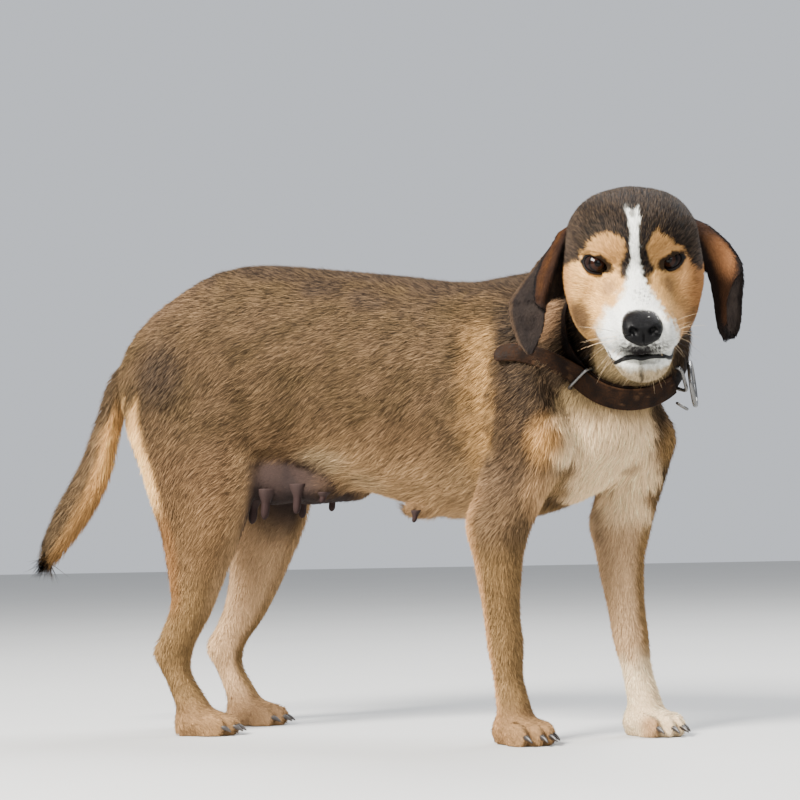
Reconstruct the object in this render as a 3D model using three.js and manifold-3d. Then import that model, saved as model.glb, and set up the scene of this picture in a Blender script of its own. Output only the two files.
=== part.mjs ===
// A standing hound bitch in a leather collar, life size, in millimetres, +Z up.
// The body is one smooth form of flesh and coat, built from tapering elliptical
// tubes (spine, neck, limbs, tail, muzzle) and ellipsoids (skull, cheeks, udder),
// blended where muscle runs from one into the next. It is parted into its named
// pieces by thin flat cuts. Ears, eyes, claws and collar are pieces of their own.
import * as THREE from 'three';
import { mergeVertices } from 'three/addons/utils/BufferGeometryUtils.js';
import Module from 'manifold-3d';

const wasm = await Module();
wasm.setup();

// ---------------------------------------------------------------- named sizes
const GAP = 0.3;                      // slit between two pieces
const WITHERS = [140, -18];           // plan position of the top of the shoulders
const SPINE_BEND = [                  // distance behind the withers, heading to the right
  [-470, -14], [-340, -12], [-250, -9], [-160, -3],
  [-75, 6], [0, 17], [60, 23], [140, 23],
];
const EYES_MIDDLE = [322, -152, 435]; // point midway between the eyes
const HEAD_TURN = 62;                 // degrees the head is turned to the right
const HEAD_DROP = 25;                 // degrees the muzzle points down
const HEAD_TILT = 1.4;                // degrees the head leans over
const EYE_SPACING = 69;
const EYE_RADIUS = 11;
const EYE_SOCKET = [13, 14.5, 11.7];  // half depth, half width, half height
const EAR_THICKNESS = 4.5;
const EAR_RIM = 1.8;
const EAR_FOLD_RADIUS = 3.4;
const STRAP_WIDTH = 24;
const STRAP_THICKNESS = 4;
const COLLAR_CENTRE = [276, -52, 364];
const COLLAR_TURN = 50;
const COLLAR_LEAN = 24;
const COLLAR_CONE = 38;               // how far the strap lies back on the throat
const COLLAR_MAX_RADIUS = 80;
const CLAW_LENGTH = 10;
const CLAW_RADIUS = 2.3;
const TRUNK_FACET = [34, 28, 28];      // facet along x, y and z
const NECK_FACET = [27, 27, 27];
const HEAD_FACET = [13.4, 13.4, 13.4];
const LIMB_FACET = [14.5, 14.5, 27];
const TAIL_FACET = [13, 13, 22];
const PAW_FACET = [10, 10, 10];
const PAW_TOP = 34;                   // height of the cut between leg and paw

const COLOURS = {
  coat: 0x8a6f50,
  pale: 0xc9a981,
  face: 0xcdb59a,
  ear: 0x7a4a28,
  eye: 0x2a1710,
  claw: 0x2b2522,
  leather: 0x3a2720,
  steel: 0xb9bcc0,
};

// ------------------------------------------------------------------ small maths
const rad = (d) => (d * Math.PI) / 180;
const add = (a, b) => [a[0] + b[0], a[1] + b[1], a[2] + b[2]];
const sub = (a, b) => [a[0] - b[0], a[1] - b[1], a[2] - b[2]];
const mul = (a, s) => [a[0] * s, a[1] * s, a[2] * s];
const dot = (a, b) => a[0] * b[0] + a[1] * b[1] + a[2] * b[2];
const cross = (a, b) => [
  a[1] * b[2] - a[2] * b[1],
  a[2] * b[0] - a[0] * b[2],
  a[0] * b[1] - a[1] * b[0],
];
const size = (a) => Math.sqrt(dot(a, a));
const unit = (a) => mul(a, 1 / (size(a) || 1));
const clamp = (x, lo, hi) => Math.min(hi, Math.max(lo, x));
const ease = (x) => clamp(x, 0, 1) ** 2 * (3 - 2 * clamp(x, 0, 1));
const level = (heading) => [Math.sin(rad(heading)), Math.cos(rad(heading)), 0];

function interpolate(pairs, x) {
  if (x <= pairs[0][0]) return pairs[0][1];
  for (let i = 1; i < pairs.length; i += 1) {
    const [x0, y0] = pairs[i - 1];
    const [x1, y1] = pairs[i];
    if (x <= x1) return y0 + ((y1 - y0) * (x - x0)) / (x1 - x0);
  }
  return pairs[pairs.length - 1][1];
}

// rows of numbers, with two smooth rows put in between each pair of stations
function smoothRows(rows, steps = 3) {
  if (rows.length < 3) return rows;
  const first = rows[0].map((v, c) => 2 * v - rows[1][c]);
  const n = rows.length;
  const last = rows[n - 1].map((v, c) => 2 * v - rows[n - 2][c]);
  const all = [first, ...rows, last];
  const out = [];
  for (let i = 1; i < all.length - 2; i += 1) {
    for (let j = 0; j < steps; j += 1) {
      const t = j / steps;
      out.push(all[i].map((b, c) => {
        const a = all[i - 1][c];
        const d = all[i + 1][c];
        const e = all[i + 2][c];
        const bend = (2 * a - 5 * b + 4 * d - e) * t * t + (3 * b - a - 3 * d + e) * t ** 3;
        return 0.5 * (2 * b + (d - a) * t + bend);
      }));
    }
  }
  out.push(rows[n - 1]);
  return out;
}

// ------------------------------------------------------- the spine and the head
const spine = { s: [], x: [], y: [] };
for (let s = -480; s <= 150; s += 1) {
  const h = rad(interpolate(SPINE_BEND, s));
  const h0 = rad(interpolate(SPINE_BEND, s - 1));
  const k = spine.s.length;
  spine.s.push(s);
  spine.x.push(k ? spine.x[k - 1] + (Math.cos(h) + Math.cos(h0)) / 2 : 0);
  spine.y.push(k ? spine.y[k - 1] - (Math.sin(h) + Math.sin(h0)) / 2 : 0);
}
const SPINE_X0 = WITHERS[0] - spine.x[480];
const SPINE_Y0 = WITHERS[1] - spine.y[480];
const leftOf = (s) => level(interpolate(SPINE_BEND, s));
function forwardOf(s) {
  const l = leftOf(s);
  return [l[1], -l[0], 0];
}
// a point a distance along the spine, so far to its left, at a height
function at(s, left, z) {
  const i = Math.round(s) + 480;
  return add([SPINE_X0 + spine.x[i], SPINE_Y0 + spine.y[i], z], mul(leftOf(s), left));
}

const headLevel = level(HEAD_TURN);
const headAhead = [headLevel[1], -headLevel[0], 0];
const noseward = add(mul(headAhead, Math.cos(rad(HEAD_DROP))), [0, 0, -Math.sin(rad(HEAD_DROP))]);
const upright = add(mul(headAhead, Math.sin(rad(HEAD_DROP))), [0, 0, Math.cos(rad(HEAD_DROP))]);
const headLeft = add(
  mul(headLevel, Math.cos(rad(HEAD_TILT))),
  mul(upright, Math.sin(rad(HEAD_TILT))),
);
const headUp = cross(noseward, headLeft);
const HEAD_AXES = [noseward, headLeft, headUp];
// a point so far towards the nose, to the left and up from midway between the eyes
const head = (f, l, u) => add(
  EYES_MIDDLE,
  add(mul(noseward, f), add(mul(headLeft, l), mul(headUp, u))),
);

// ----------------------------------------------- rounded forms and their blend
// Every form answers with the distance from a point to its surface.
const forms = [];

function ellipse(u, v, w, a, b, e) {
  const k0 = Math.sqrt((u / a) ** 2 + (v / b) ** 2 + (w / e) ** 2);
  const k1 = Math.sqrt((u / a ** 2) ** 2 + (v / b ** 2) ** 2 + (w / e ** 2) ** 2);
  return k0 < 1e-3 ? -Math.min(a, b, e) : (k0 * (k0 - 1)) / k1;
}

// stations: centre, direction of the side, half size to the side, up and down
function tube(stations, blend, ends = 1) {
  const rows = smoothRows(stations.map(([c, s, a, up, down]) => [...c, ...s, a, up, down]));
  const st = rows.map((r) => ({
    c: r.slice(0, 3),
    s: unit(r.slice(3, 6)),
    a: Math.max(1, r[6]),
    up: Math.max(1, r[7]),
    down: Math.max(1, r[8]),
  }));
  const lo = [1e9, 1e9, 1e9];
  const hi = [-1e9, -1e9, -1e9];
  for (const q of st) {
    const reach = Math.max(q.a, q.up, q.down) * Math.max(1, ends);
    for (let i = 0; i < 3; i += 1) {
      lo[i] = Math.min(lo[i], q.c[i] - reach);
      hi[i] = Math.max(hi[i], q.c[i] + reach);
    }
  }
  const parts = st.slice(1).map((q, i) => {
    const run = sub(q.c, st[i].c);
    return { from: st[i], to: q, length: size(run), along: unit(run) };
  });
  function distance(p) {
    let best = 1e9;
    for (const { from, to, length, along } of parts) {
      const q = sub(p, from.c);
      const t = clamp(dot(q, along) / length, 0, 1);
      let side = add(mul(from.s, 1 - t), mul(to.s, t));
      side = unit(sub(side, mul(along, dot(side, along))));
      const over = cross(along, side);
      const v = dot(q, over);
      const a = from.a + (to.a - from.a) * t;
      const b = v > 0 ? from.up + (to.up - from.up) * t : from.down + (to.down - from.down) * t;
      const w = dot(q, along) - t * length;
      best = Math.min(best, ellipse(dot(q, side), v, w, a, b, Math.min(a, b) * ends));
    }
    return best;
  }
  forms.push({ lo, hi, blend, distance });
}

function ellipsoid(centre, radii, blend, axes = [[1, 0, 0], [0, 1, 0], [0, 0, 1]]) {
  const reach = Math.max(...radii);
  const lo = centre.map((v) => v - reach);
  const hi = centre.map((v) => v + reach);
  const distance = (p) => {
    const q = sub(p, centre);
    return ellipse(dot(q, axes[0]), dot(q, axes[1]), dot(q, axes[2]), ...radii);
  };
  forms.push({ lo, hi, blend, distance });
}

function smoothMin(a, b, k) {
  const h = clamp(0.5 + (0.5 * (b - a)) / k, 0, 1);
  return b + (a - b) * h - k * h * (1 - h);
}

function flesh(p) {
  let d = 60;
  for (const f of forms) {
    const m = 30 + f.blend;
    const far = f.lo.some((v, i) => p[i] < v - m) || f.hi.some((v, i) => p[i] > v + m);
    if (!far) d = smoothMin(d, f.distance(p), f.blend);
  }
  return d;
}

// ------------------------------------------------------------- body of the hound
// trunk: distance along the spine, half width, top line, under line
const TRUNK = [
  [-428, 22, 378, 330], [-412, 42, 404, 310], [-380, 58, 440, 295], [-345, 64, 462, 285],
  [-305, 68, 478, 277], [-233, 70, 471, 264], [-150, 80, 459, 238], [-95, 84, 449, 222],
  [-40, 84, 444, 213], [15, 76, 440, 210], [65, 66, 420, 228], [100, 52, 384, 258],
];
tube(TRUNK.map(([s, half, top, under]) => {
  const tall = (top - under) / 2;
  return [at(s, Math.max(0, s) * 0.12, top - tall), leftOf(s), half, tall, tall];
}), 10, 0.8);
// breast
tube([
  [at(60, 8, 285), leftOf(60), 56, 52, 52],
  [at(95, 12, 292), leftOf(95), 44, 44, 44],
  [at(114, 14, 302), leftOf(100), 32, 38, 34],
], 20, 0.8);
// neck, turning round to the right and up to the skull
tube([
  [at(-10, 0, 374), leftOf(0), 58, 64, 70],
  [[190, -28, 378], level(24), 60, 71, 74],
  [[234, -32, 376], level(34), 59, 71, 71],
  [[266, -46, 378], level(50), 56, 65, 64],
  [[284, -74, 396], level(60), 52, 58, 60],
  [[296, -104, 424], headLevel, 50, 52, 54],
], 22, 0.6);

const foreAhead = forwardOf(60);
const foreLeft = leftOf(60);
const hindAhead = forwardOf(-380);
const hindLeft = leftOf(-380);
// shoulder blades and points of the shoulder
for (const side of [-1, 1]) {
  const on = side < 0 ? 0 : 10;
  tube([
    [at(10 + on, side * 42, 410), foreAhead, 34, 22, 22],
    [at(45 + on, side * 54, 350), foreAhead, 44, 29, 29],
    [at(78 + on * 1.7, side * (side < 0 ? 56 : 54), 289), foreAhead, 38, 30, 30],
  ], 20);
}
// a limb: x, y, height, half size fore and aft, half size across
const limb = (ahead, rows, blend) => tube(
  rows.map(([x, y, z, a, b]) => [[x, y, z], ahead, a, b, b]),
  blend,
);
limb(foreAhead, [[196, -92, 282, 36, 28], [163, -90, 236, 40, 27], [144, -86, 200, 33, 25]], 20);
limb(foreAhead, [[258, 12, 285, 34, 28], [235, 24, 238, 36, 27], [221, 28, 200, 32, 25]], 20);
limb(foreAhead, [
  [146, -86, 205, 31, 25], [145, -84, 169, 26, 22], [146, -82, 123, 19, 18],
  [149, -82, 92, 19, 18], [152, -84, 62, 15, 15.5], [160, -90, 32, 16, 17],
], 12);
limb(foreAhead, [
  [223, 28, 205, 30, 25], [222, 28, 169, 26, 22], [226, 28, 125, 20, 18.5],
  [230, 28, 94, 19, 18], [236, 27, 62, 15.5, 15.5], [244, 24, 32, 16, 17],
], 12);
limb(hindAhead, [
  [-226, -52, 388, 50, 26], [-208, -64, 338, 72, 30], [-196, -70, 274, 61, 28],
  [-192, -71, 240, 55, 26], [-193, -71, 210, 45, 24], [-200, -68, 174, 34, 21],
  [-209, -66, 131, 22, 18], [-224, -65, 104, 19, 16], [-234, -64, 84, 20, 15],
], 22);
limb(hindAhead, [
  [-236, 16, 388, 48, 26], [-216, 40, 338, 70, 30], [-201, 56, 274, 60, 28],
  [-199, 62, 235, 54, 26], [-203, 64, 201, 42, 24], [-208, 64, 170, 32, 21],
  [-225, 64, 125, 23, 18], [-241, 62, 99, 19, 16], [-250, 61, 82, 20, 15],
], 22);
limb(hindAhead, [[-238, -64, 84, 17, 14], [-226, -64, 56, 14, 13], [-212, -63, 30, 15, 16]], 8);
limb(hindAhead, [[-254, 61, 82, 17, 14], [-242, 61, 55, 14, 13], [-229, 61, 30, 15, 16]], 8);

// paws: a pad with four toes, the middle pair furthest forward
const PAWS = [
  { name: 'fore_paw_right', c: [160, -90, 0], ahead: foreAhead, left: foreLeft, width: 23 },
  { name: 'fore_paw_left', c: [244, 24, 0], ahead: foreAhead, left: foreLeft, width: 23 },
  { name: 'hind_paw_right', c: [-210, -63, 0], ahead: hindAhead, left: hindLeft, width: 21 },
  { name: 'hind_paw_left', c: [-226, 61, 0], ahead: hindAhead, left: hindLeft, width: 21 },
];
const pawPoint = (p, f, l, z) => add(add(p.c, mul(p.ahead, f)), add(mul(p.left, l), [0, 0, z]));
const toePlaces = (p) => [-1.5, -0.5, 0.5, 1.5].map((k) => ({
  f: Math.abs(k) > 1 ? 21 : 30,
  l: k * p.width * 0.5,
}));
for (const p of PAWS) {
  tube([
    [pawPoint(p, -10, 0, 14), p.left, p.width * 0.82, 15, 18],
    [pawPoint(p, 6, 0, 15), p.left, p.width * 0.98, 16, 19],
    [pawPoint(p, 22, 0, 12), p.left, p.width * 0.84, 13, 16],
  ], 9, 0.7);
  for (const t of toePlaces(p)) {
    ellipsoid(pawPoint(p, t.f, t.l, 10), [16, p.width * 0.29, 13], 4, [p.ahead, p.left, [0, 0, 1]]);
  }
}

// tail, hanging back and down: x, y, height, half width, half depth
tube([
  [-288, -35, 378, 18, 18], [-309, -37, 361, 17, 17], [-321, -39, 333, 14, 15],
  [-331, -39, 304, 15, 18], [-342, -39, 276, 16, 20], [-354, -40, 253, 17, 21],
  [-370, -43, 229, 16, 21], [-385, -46, 208, 14, 19], [-398, -48, 188, 11, 15],
  [-404, -49, 168, 6, 9],
].map(([x, y, z, a, b]) => [[x, y, z], [0, 1, 0], a, b, b]), 10);

// udder in milk: x, y, height, radii
for (const [x, y, z, a, b, c] of [
  [-132, -26, 254, 34, 26, 24], [-122, 26, 254, 34, 28, 24], [-158, 0, 260, 34, 40, 22],
  [-84, -24, 246, 30, 22, 14], [-78, 26, 246, 30, 22, 14],
  [38, -30, 222, 22, 16, 10], [48, 26, 222, 22, 16, 10],
]) ellipsoid([x, y, z], [a, b, c], 18);

// ------------------------------------------------------------------------- head
const lump = (f, l, u, radii, blend) => ellipsoid(head(f, l, u), radii, blend, HEAD_AXES);
const snout = (rows, blend, ends) => tube(
  rows.map(([f, l, u, a, up, down]) => [head(f, l, u), headLeft, a, up, down]),
  blend,
  ends,
);
lump(-40, 0, 10, [60, 53, 43], 14);            // cranium
for (const s of [1, -1]) lump(-34, s * 25, 16, [44, 29, 31], 12);
lump(-82, 0, 4, [30, 34, 34], 16);             // back of the skull
lump(-12, 0, 21, [26, 33, 20], 14);            // forehead
for (const s of [1, -1]) {
  lump(-4, s * 27, 14, [15, 17, 10], 10);      // brow
  lump(-30, s * 42, -22, [40, 20, 34], 14);    // cheek
  lump(-22, s * 34, -50, [40, 22, 30], 16);    // angle of the jaw
}
snout([
  [-10, 0, -24, 38, 30, 34], [25, 0, -28, 31, 24, 34],
  [60, 0, -33, 27, 20, 26], [82, 0, -34, 24, 17, 22],
], 12, 0.45);
snout([
  [-20, 0, -62, 37, 20, 28], [25, 0, -68, 31, 15, 23],
  [54, 0, -72, 26, 13, 20], [67, 0, -70, 21, 12, 17],
], 8, 0.6);
for (const s of [1, -1]) {
  snout([
    [12, s * 27, -44, 15, 18, 22], [42, s * 25, -47, 13, 15, 18],
    [68, s * 17, -47, 11, 12, 13], [79, s * 9, -46, 9, 10, 10],
  ], 9, 1);
}
lump(86, 0, -24, [9, 17.5, 13], 4);            // nose leather

// -------------------------------------------------- turning forms into solids
function manifold(points, triangles) {
  return new wasm.Manifold(new wasm.Mesh({
    numProp: 3,
    vertProperties: Float32Array.from(points.flat()),
    triVerts: Uint32Array.from(triangles.flat()),
  }));
}

function fromGeometry(geometry, matrix) {
  geometry.deleteAttribute('normal');
  geometry.deleteAttribute('uv');
  const g = mergeVertices(geometry);
  if (matrix) g.applyMatrix4(matrix);
  return new wasm.Manifold(new wasm.Mesh({
    numProp: 3,
    vertProperties: new Float32Array(g.attributes.position.array),
    triVerts: new Uint32Array(g.index.array),
  }));
}

function placed(centre, axes) {
  const m = new THREE.Matrix4().makeBasis(...axes.map((a) => new THREE.Vector3(...a)));
  return m.setPosition(...centre);
}

const WORLD_AXES = [[1, 0, 0], [0, 1, 0], [0, 0, 1]];

// a cutting block, from its low to its high corner in its own axes
function block({ origin = [0, 0, 0], axes = WORLD_AXES, lo, hi }, grow = 0) {
  const half = lo.map((v, i) => (hi[i] - v) / 2 + grow);
  const mid = lo.map((v, i) => (hi[i] + v) / 2);
  const centre = axes.reduce((p, a, i) => add(p, mul(a, mid[i])), origin);
  return fromGeometry(new THREE.BoxGeometry(...half.map((h) => 2 * h)), placed(centre, axes));
}
const blocks = (list, grow = 0) => list.map((b) => block(b, grow)).reduce((a, b) => a.add(b));

function slope(p, h = 0.4) {
  const g = [0, 1, 2].map((i) => {
    const e = [0, 0, 0];
    e[i] = h;
    return (flesh(add(p, e)) - flesh(sub(p, e))) / (2 * h);
  });
  return g;
}

// The surface where the flesh is `out` from its own skin, inside a box: one corner
// point per grid cell that the surface passes through, moved on to the true surface.
function surface(from, hi, facet, out = 0, phase = 0) {
  const lo = from.map((v, i) => v - facet[i] * ((phase * (0.37 + 0.11 * i)) % 1));
  const n = lo.map((v, i) => Math.ceil((hi[i] - v) / facet[i]) + 1);
  const least = Math.min(...facet);
  const at3 = (i, j, k) => (i * n[1] + j) * n[2] + k;
  const value = new Float64Array(n[0] * n[1] * n[2]).fill(least / 2);
  for (let i = 1; i < n[0] - 1; i += 1) {
    for (let j = 1; j < n[1] - 1; j += 1) {
      for (let k = 1; k < n[2] - 1; k += 1) {
        const p = [lo[0] + i * facet[0], lo[1] + j * facet[1], lo[2] + k * facet[2]];
        value[at3(i, j, k)] = flesh(p) - out;
      }
    }
  }
  const cell = new Map();
  const points = [];
  for (let i = 0; i < n[0] - 1; i += 1) {
    for (let j = 0; j < n[1] - 1; j += 1) {
      for (let k = 0; k < n[2] - 1; k += 1) {
        let sum = [0, 0, 0];
        let count = 0;
        for (let axis = 0; axis < 3; axis += 1) {
          for (let c = 0; c < 4; c += 1) {
            const a = [i, j, k];
            a[(axis + 1) % 3] += c & 1;
            a[(axis + 2) % 3] += c >> 1;
            const b = [...a];
            b[axis] += 1;
            const va = value[at3(...a)];
            const vb = value[at3(...b)];
            if ((va < 0) !== (vb < 0)) {
              a[axis] += va / (va - vb);
              sum = add(sum, a);
              count += 1;
            }
          }
        }
        if (count) {
          cell.set(at3(i, j, k), points.length);
          let p = lo.map((v, q) => v + (sum[q] / count) * facet[q]);
          const inner = p.every((v, q) => v > lo[q] + facet[q] && v < hi[q] - 2 * facet[q]);
          for (let step = 0; inner && step < 2; step += 1) {
            const g = slope(p);
            const away = (flesh(p) - out) / Math.max(0.2, dot(g, g));
            const move = clamp(away, -least / 9, least / 9);
            p = sub(p, mul(g, move));
          }
          points.push(p);
        }
      }
    }
  }
  const triangles = [];
  for (let i = 1; i < n[0] - 1; i += 1) {
    for (let j = 1; j < n[1] - 1; j += 1) {
      for (let k = 1; k < n[2] - 1; k += 1) {
        for (let axis = 0; axis < 3; axis += 1) {
          for (const back of [0, 1]) {
            const a = [i, j, k];
            a[axis] -= back;
            const b = [...a];
            b[axis] += 1;
            const edgeOnce = back === 0 || a[axis] === 0;
            const inA = value[at3(...a)] < 0;
            const inB = value[at3(...b)] < 0;
            if (!edgeOnce || inA === inB) continue;
            const u = (axis + 1) % 3;
            const v = (axis + 2) % 3;
            const corner = (du, dv) => {
              const q = [...a];
              q[u] -= du;
              q[v] -= dv;
              return cell.get(at3(...q));
            };
            let quad = [corner(1, 1), corner(0, 1), corner(0, 0), corner(1, 0)];
            if (inB) quad = quad.reverse();
            const [q0, q1, q2, q3] = quad;
            const short = size(sub(points[q0], points[q2])) < size(sub(points[q1], points[q3]));
            if (short) triangles.push([q0, q1, q2], [q0, q2, q3]);
            else triangles.push([q1, q2, q3], [q1, q3, q0]);
          }
        }
      }
    }
  }
  return manifold(points, triangles);
}

// the largest single body of a solid
function largest(solid) {
  return solid.decompose().sort((a, b) => b.volume() - a.volume())[0];
}

// whether each edge has just two faces, with corners counted as one when they round alike
function closed(solid) {
  const mesh = solid.getMesh();
  const names = new Map();
  const edges = new Map();
  const corner = [];
  for (let i = 0; i < mesh.vertProperties.length; i += 3) {
    const key = [0, 1, 2].map((a) => Math.round(mesh.vertProperties[i + a] * 2000)).join();
    if (!names.has(key)) names.set(key, names.size);
    corner.push(names.get(key));
  }
  for (let t = 0; t < mesh.triVerts.length; t += 3) {
    const [a, b, c] = [0, 1, 2].map((k) => corner[mesh.triVerts[t + k]]);
    if (a === b || b === c || a === c) continue;
    for (const [u, v] of [[a, b], [b, c], [c, a]]) {
      const key = u < v ? `${u},${v}` : `${v},${u}`;
      edges.set(key, (edges.get(key) || 0) + 1);
    }
  }
  return [...edges.values()].every((n) => n === 2);
}

// a piece built with its facets shifted a little at a time until it closes everywhere
function sound(build) {
  for (let phase = 0; phase < 24; phase += 1) {
    const solid = largest(build(phase));
    if (closed(solid)) return solid;
  }
  throw new Error('a piece does not close');
}

// ------------------------------------------------------------ where it is parted
const HEAD_BLOCK = {
  origin: [286, -84, 0],
  axes: [headAhead, headLevel, [0, 0, 1]],
  lo: [0, -130, 318],
  hi: [260, 130, 580],
};
const neckLevel = level(35);
const neckAhead = [neckLevel[1] * Math.cos(rad(20)), -neckLevel[0] * Math.cos(rad(20)), Math.sin(rad(20))];
const NECK_BLOCK = {
  origin: [205, -30, 390],
  axes: [neckAhead, neckLevel, cross(neckAhead, neckLevel)],
  lo: [0, -130, -80],
  hi: [320, 130, 160],
};
const tailBack = unit([-0.78, -0.07, -0.63]);
const tailSide = unit(cross(tailBack, [1, 0, -0.7]));
const TAIL_BLOCK = {
  origin: [-308, -37, 358],
  axes: [tailBack, tailSide, cross(tailBack, tailSide)],
  lo: [0, -120, -260],
  hi: [330, 120, 260],
};
const LEGS = {
  fore_leg_right: [
    { lo: [92, -140, -5], hi: [225, -42, 205] },
    { lo: [100, -150, 204], hi: [250, -68, 296] },
  ],
  fore_leg_left: [
    { lo: [170, -8, -5], hi: [305, 90, 205] },
    { lo: [185, 34, 204], hi: [305, 110, 296] },
  ],
  hind_leg_right: [
    { lo: [-292, -130, -5], hi: [-137, -22, 221.5] },
    { lo: [-300, -140, 220], hi: [-110, -62, 366] },
  ],
  hind_leg_left: [
    { lo: [-300, 15, -5], hi: [-137, 120, 221.5] },
    { lo: [-300, 50, 220], hi: [-110, 140, 366] },
  ],
};
const pawBlock = (p) => ({
  lo: [p.c[0] - 60, p.c[1] - 48, 0],
  hi: [p.c[0] + 80, p.c[1] + 48, PAW_TOP],
});

const pieces = [];
const keep = (name, solid, colour, rough = 0.85, metal = 0) => {
  pieces.push({ name, solid, colour, rough, metal });
};

// ------------------------------------------------------------------- the collar
const collarLevel = level(COLLAR_TURN);
const lean = rad(COLLAR_LEAN);
const collarUp = [
  -Math.sin(lean) * collarLevel[1],
  Math.sin(lean) * collarLevel[0],
  Math.cos(lean),
];
const collarNormal = cross(collarLevel, collarUp);
// outward direction round the ring, from the throat at 0 to the left side at 90
const outward = (deg) => add(
  mul(collarUp, -Math.cos(rad(deg))),
  mul(collarLevel, Math.sin(rad(deg))),
);
function fleshRadius(deg) {
  for (let r = 30; r < COLLAR_MAX_RADIUS; r += 0.5) {
    if (flesh(add(COLLAR_CENTRE, mul(outward(deg), r))) > 0) return r;
  }
  return COLLAR_MAX_RADIUS;
}
const RING_STEPS = 32;
let radii = Array.from({ length: RING_STEPS }, (_, i) => fleshRadius((i * 360) / RING_STEPS));
for (let pass = 0; pass < 4; pass += 1) {
  radii = radii.map((r, i) => {
    const mean = (radii[(i + 1) % RING_STEPS] + radii[(i + RING_STEPS - 1) % RING_STEPS]) / 2;
    return 0.5 * r + 0.5 * mean;
  });
}
function ringRadius(deg) {
  const x = (((deg / 360) * RING_STEPS) % RING_STEPS + RING_STEPS) % RING_STEPS;
  const i = Math.floor(x);
  return radii[i] * (1 - x + i) + radii[(i + 1) % RING_STEPS] * (x - i);
}
const cone = (deg) => rad(COLLAR_CONE) * (0.5 + 0.5 * Math.cos(rad(deg)));
const strapAcross = (deg) => sub(
  mul(collarNormal, Math.cos(cone(deg))),
  mul(outward(deg), Math.sin(cone(deg))),
);
const strapOut = (deg) => add(
  mul(outward(deg), Math.cos(cone(deg))),
  mul(collarNormal, Math.sin(cone(deg))),
);
const onRing = (deg, up) => add(
  add(COLLAR_CENTRE, mul(outward(deg), ringRadius(deg))),
  mul(strapOut(deg), up),
);

// rings of points joined into a closed body; `round` joins the last ring to the first
function skinned(rings, round = false) {
  const m = rings[0].length;
  const triangles = [];
  const n = rings.length;
  for (let i = 0; i < (round ? n : n - 1); i += 1) {
    for (let j = 0; j < m; j += 1) {
      const a = i * m + j;
      const b = i * m + ((j + 1) % m);
      const c = ((i + 1) % n) * m + ((j + 1) % m);
      const d = ((i + 1) % n) * m + j;
      triangles.push([a, b, c], [a, c, d]);
    }
  }
  if (!round) {
    for (let j = 1; j < m - 1; j += 1) {
      triangles.push([0, j + 1, j]);
      triangles.push([(n - 1) * m, (n - 1) * m + j, (n - 1) * m + j + 1]);
    }
  }
  const solid = manifold(rings.flat(), triangles);
  if (solid.volume() > 0) return solid;
  return manifold(rings.flat(), triangles.map(([a, b, c]) => [a, c, b]));
}

function strapSection(centre, across, out, width, thickness, grow) {
  const w = width / 2 + grow;
  const t = thickness / 2 + grow;
  return [[-w, -t], [w, -t], [w, t], [-w, t]].map(
    ([x, y]) => add(centre, add(mul(across, x), mul(out, y))),
  );
}
const band = (grow) => skinned(Array.from({ length: RING_STEPS }, (_, i) => {
  const deg = (i * 360) / RING_STEPS;
  const mid = onRing(deg, 0.5);
  return strapSection(mid, strapAcross(deg), strapOut(deg), STRAP_WIDTH, STRAP_THICKNESS, grow);
}), true);

// the strap's free end lies on the band from the buckle to the keeper, then stands off
const BUCKLE_AT = 50;
const KEEPER_AT = -62;
const TONGUE_TIP = [162, -116, 363];
const TONGUE_BEND = [202, -113, 356];
const TONGUE_LIFT = STRAP_THICKNESS + 1;
function tongue(grow) {
  const rows = [];
  for (let deg = BUCKLE_AT - 10; deg >= KEEPER_AT - 6; deg -= 8) {
    rows.push([onRing(deg, TONGUE_LIFT), strapAcross(deg), strapOut(deg), STRAP_WIDTH - 2]);
  }
  const [start, across, out] = rows[rows.length - 1];
  const away = unit(sub(start, rows[rows.length - 2][0]));
  const reach = size(sub(TONGUE_TIP, start));
  for (const t of [0.15, 0.32, 0.5, 0.68, 0.84, 0.93, 0.98, 1]) {
    const straight = add(mul(start, 1 - t), mul(TONGUE_TIP, t));
    const bulge = mul(sub(TONGUE_BEND, add(mul(start, 0.5), mul(TONGUE_TIP, 0.5))), 4 * t * (1 - t));
    const swing = mul(away, reach * 0.12 * Math.sin(Math.PI * t));
    const centre = add(add(straight, mul(bulge, 0.7)), swing);
    const flat = unit(add(mul(across, 1 - t), mul([0.1, 0.27, 0.96], t)));
    const run = unit(sub(TONGUE_TIP, start));
    const face = unit(cross(flat, run));
    const facing = dot(face, out) < 0 ? mul(face, -1) : face;
    const taper = (STRAP_WIDTH - 2) * (1 - 0.3 * t);
    const nose = t > 0.9 ? Math.sqrt(Math.max(0.03, 1 - ((t - 0.9) / 0.1) ** 2)) : 1;
    rows.push([centre, flat, facing, taper * nose]);
  }
  return skinned(rows.map(
    ([c, a, o, w]) => strapSection(c, a, o, w, STRAP_THICKNESS - 0.6, grow),
  ));
}

// a bar bent round a rounded rectangle about the strap
function hoop(deg, halfWidth, inner, outer, bar, sides = 5, steps = 12) {
  const mid = onRing(deg, (inner + outer) / 2);
  const a = strapAcross(deg);
  const o = strapOut(deg);
  const run = cross(a, o);
  const tall = (outer - inner) / 2;
  const rings = Array.from({ length: steps }, (_, i) => {
    const t = (2 * Math.PI * i) / steps;
    const corner = (v) => Math.sign(v) * Math.abs(v) ** 0.4;
    const c = corner(Math.cos(t)) * halfWidth;
    const s = corner(Math.sin(t)) * tall;
    const out = unit(add(mul(a, Math.cos(t) / halfWidth), mul(o, Math.sin(t) / tall)));
    const centre = add(mid, add(mul(a, c), mul(o, s)));
    return Array.from({ length: sides }, (_q, j) => {
      const u = (2 * Math.PI * j) / sides;
      return add(centre, add(mul(out, Math.cos(u) * bar), mul(run, Math.sin(u) * bar)));
    });
  });
  return skinned(rings, true);
}

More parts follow.
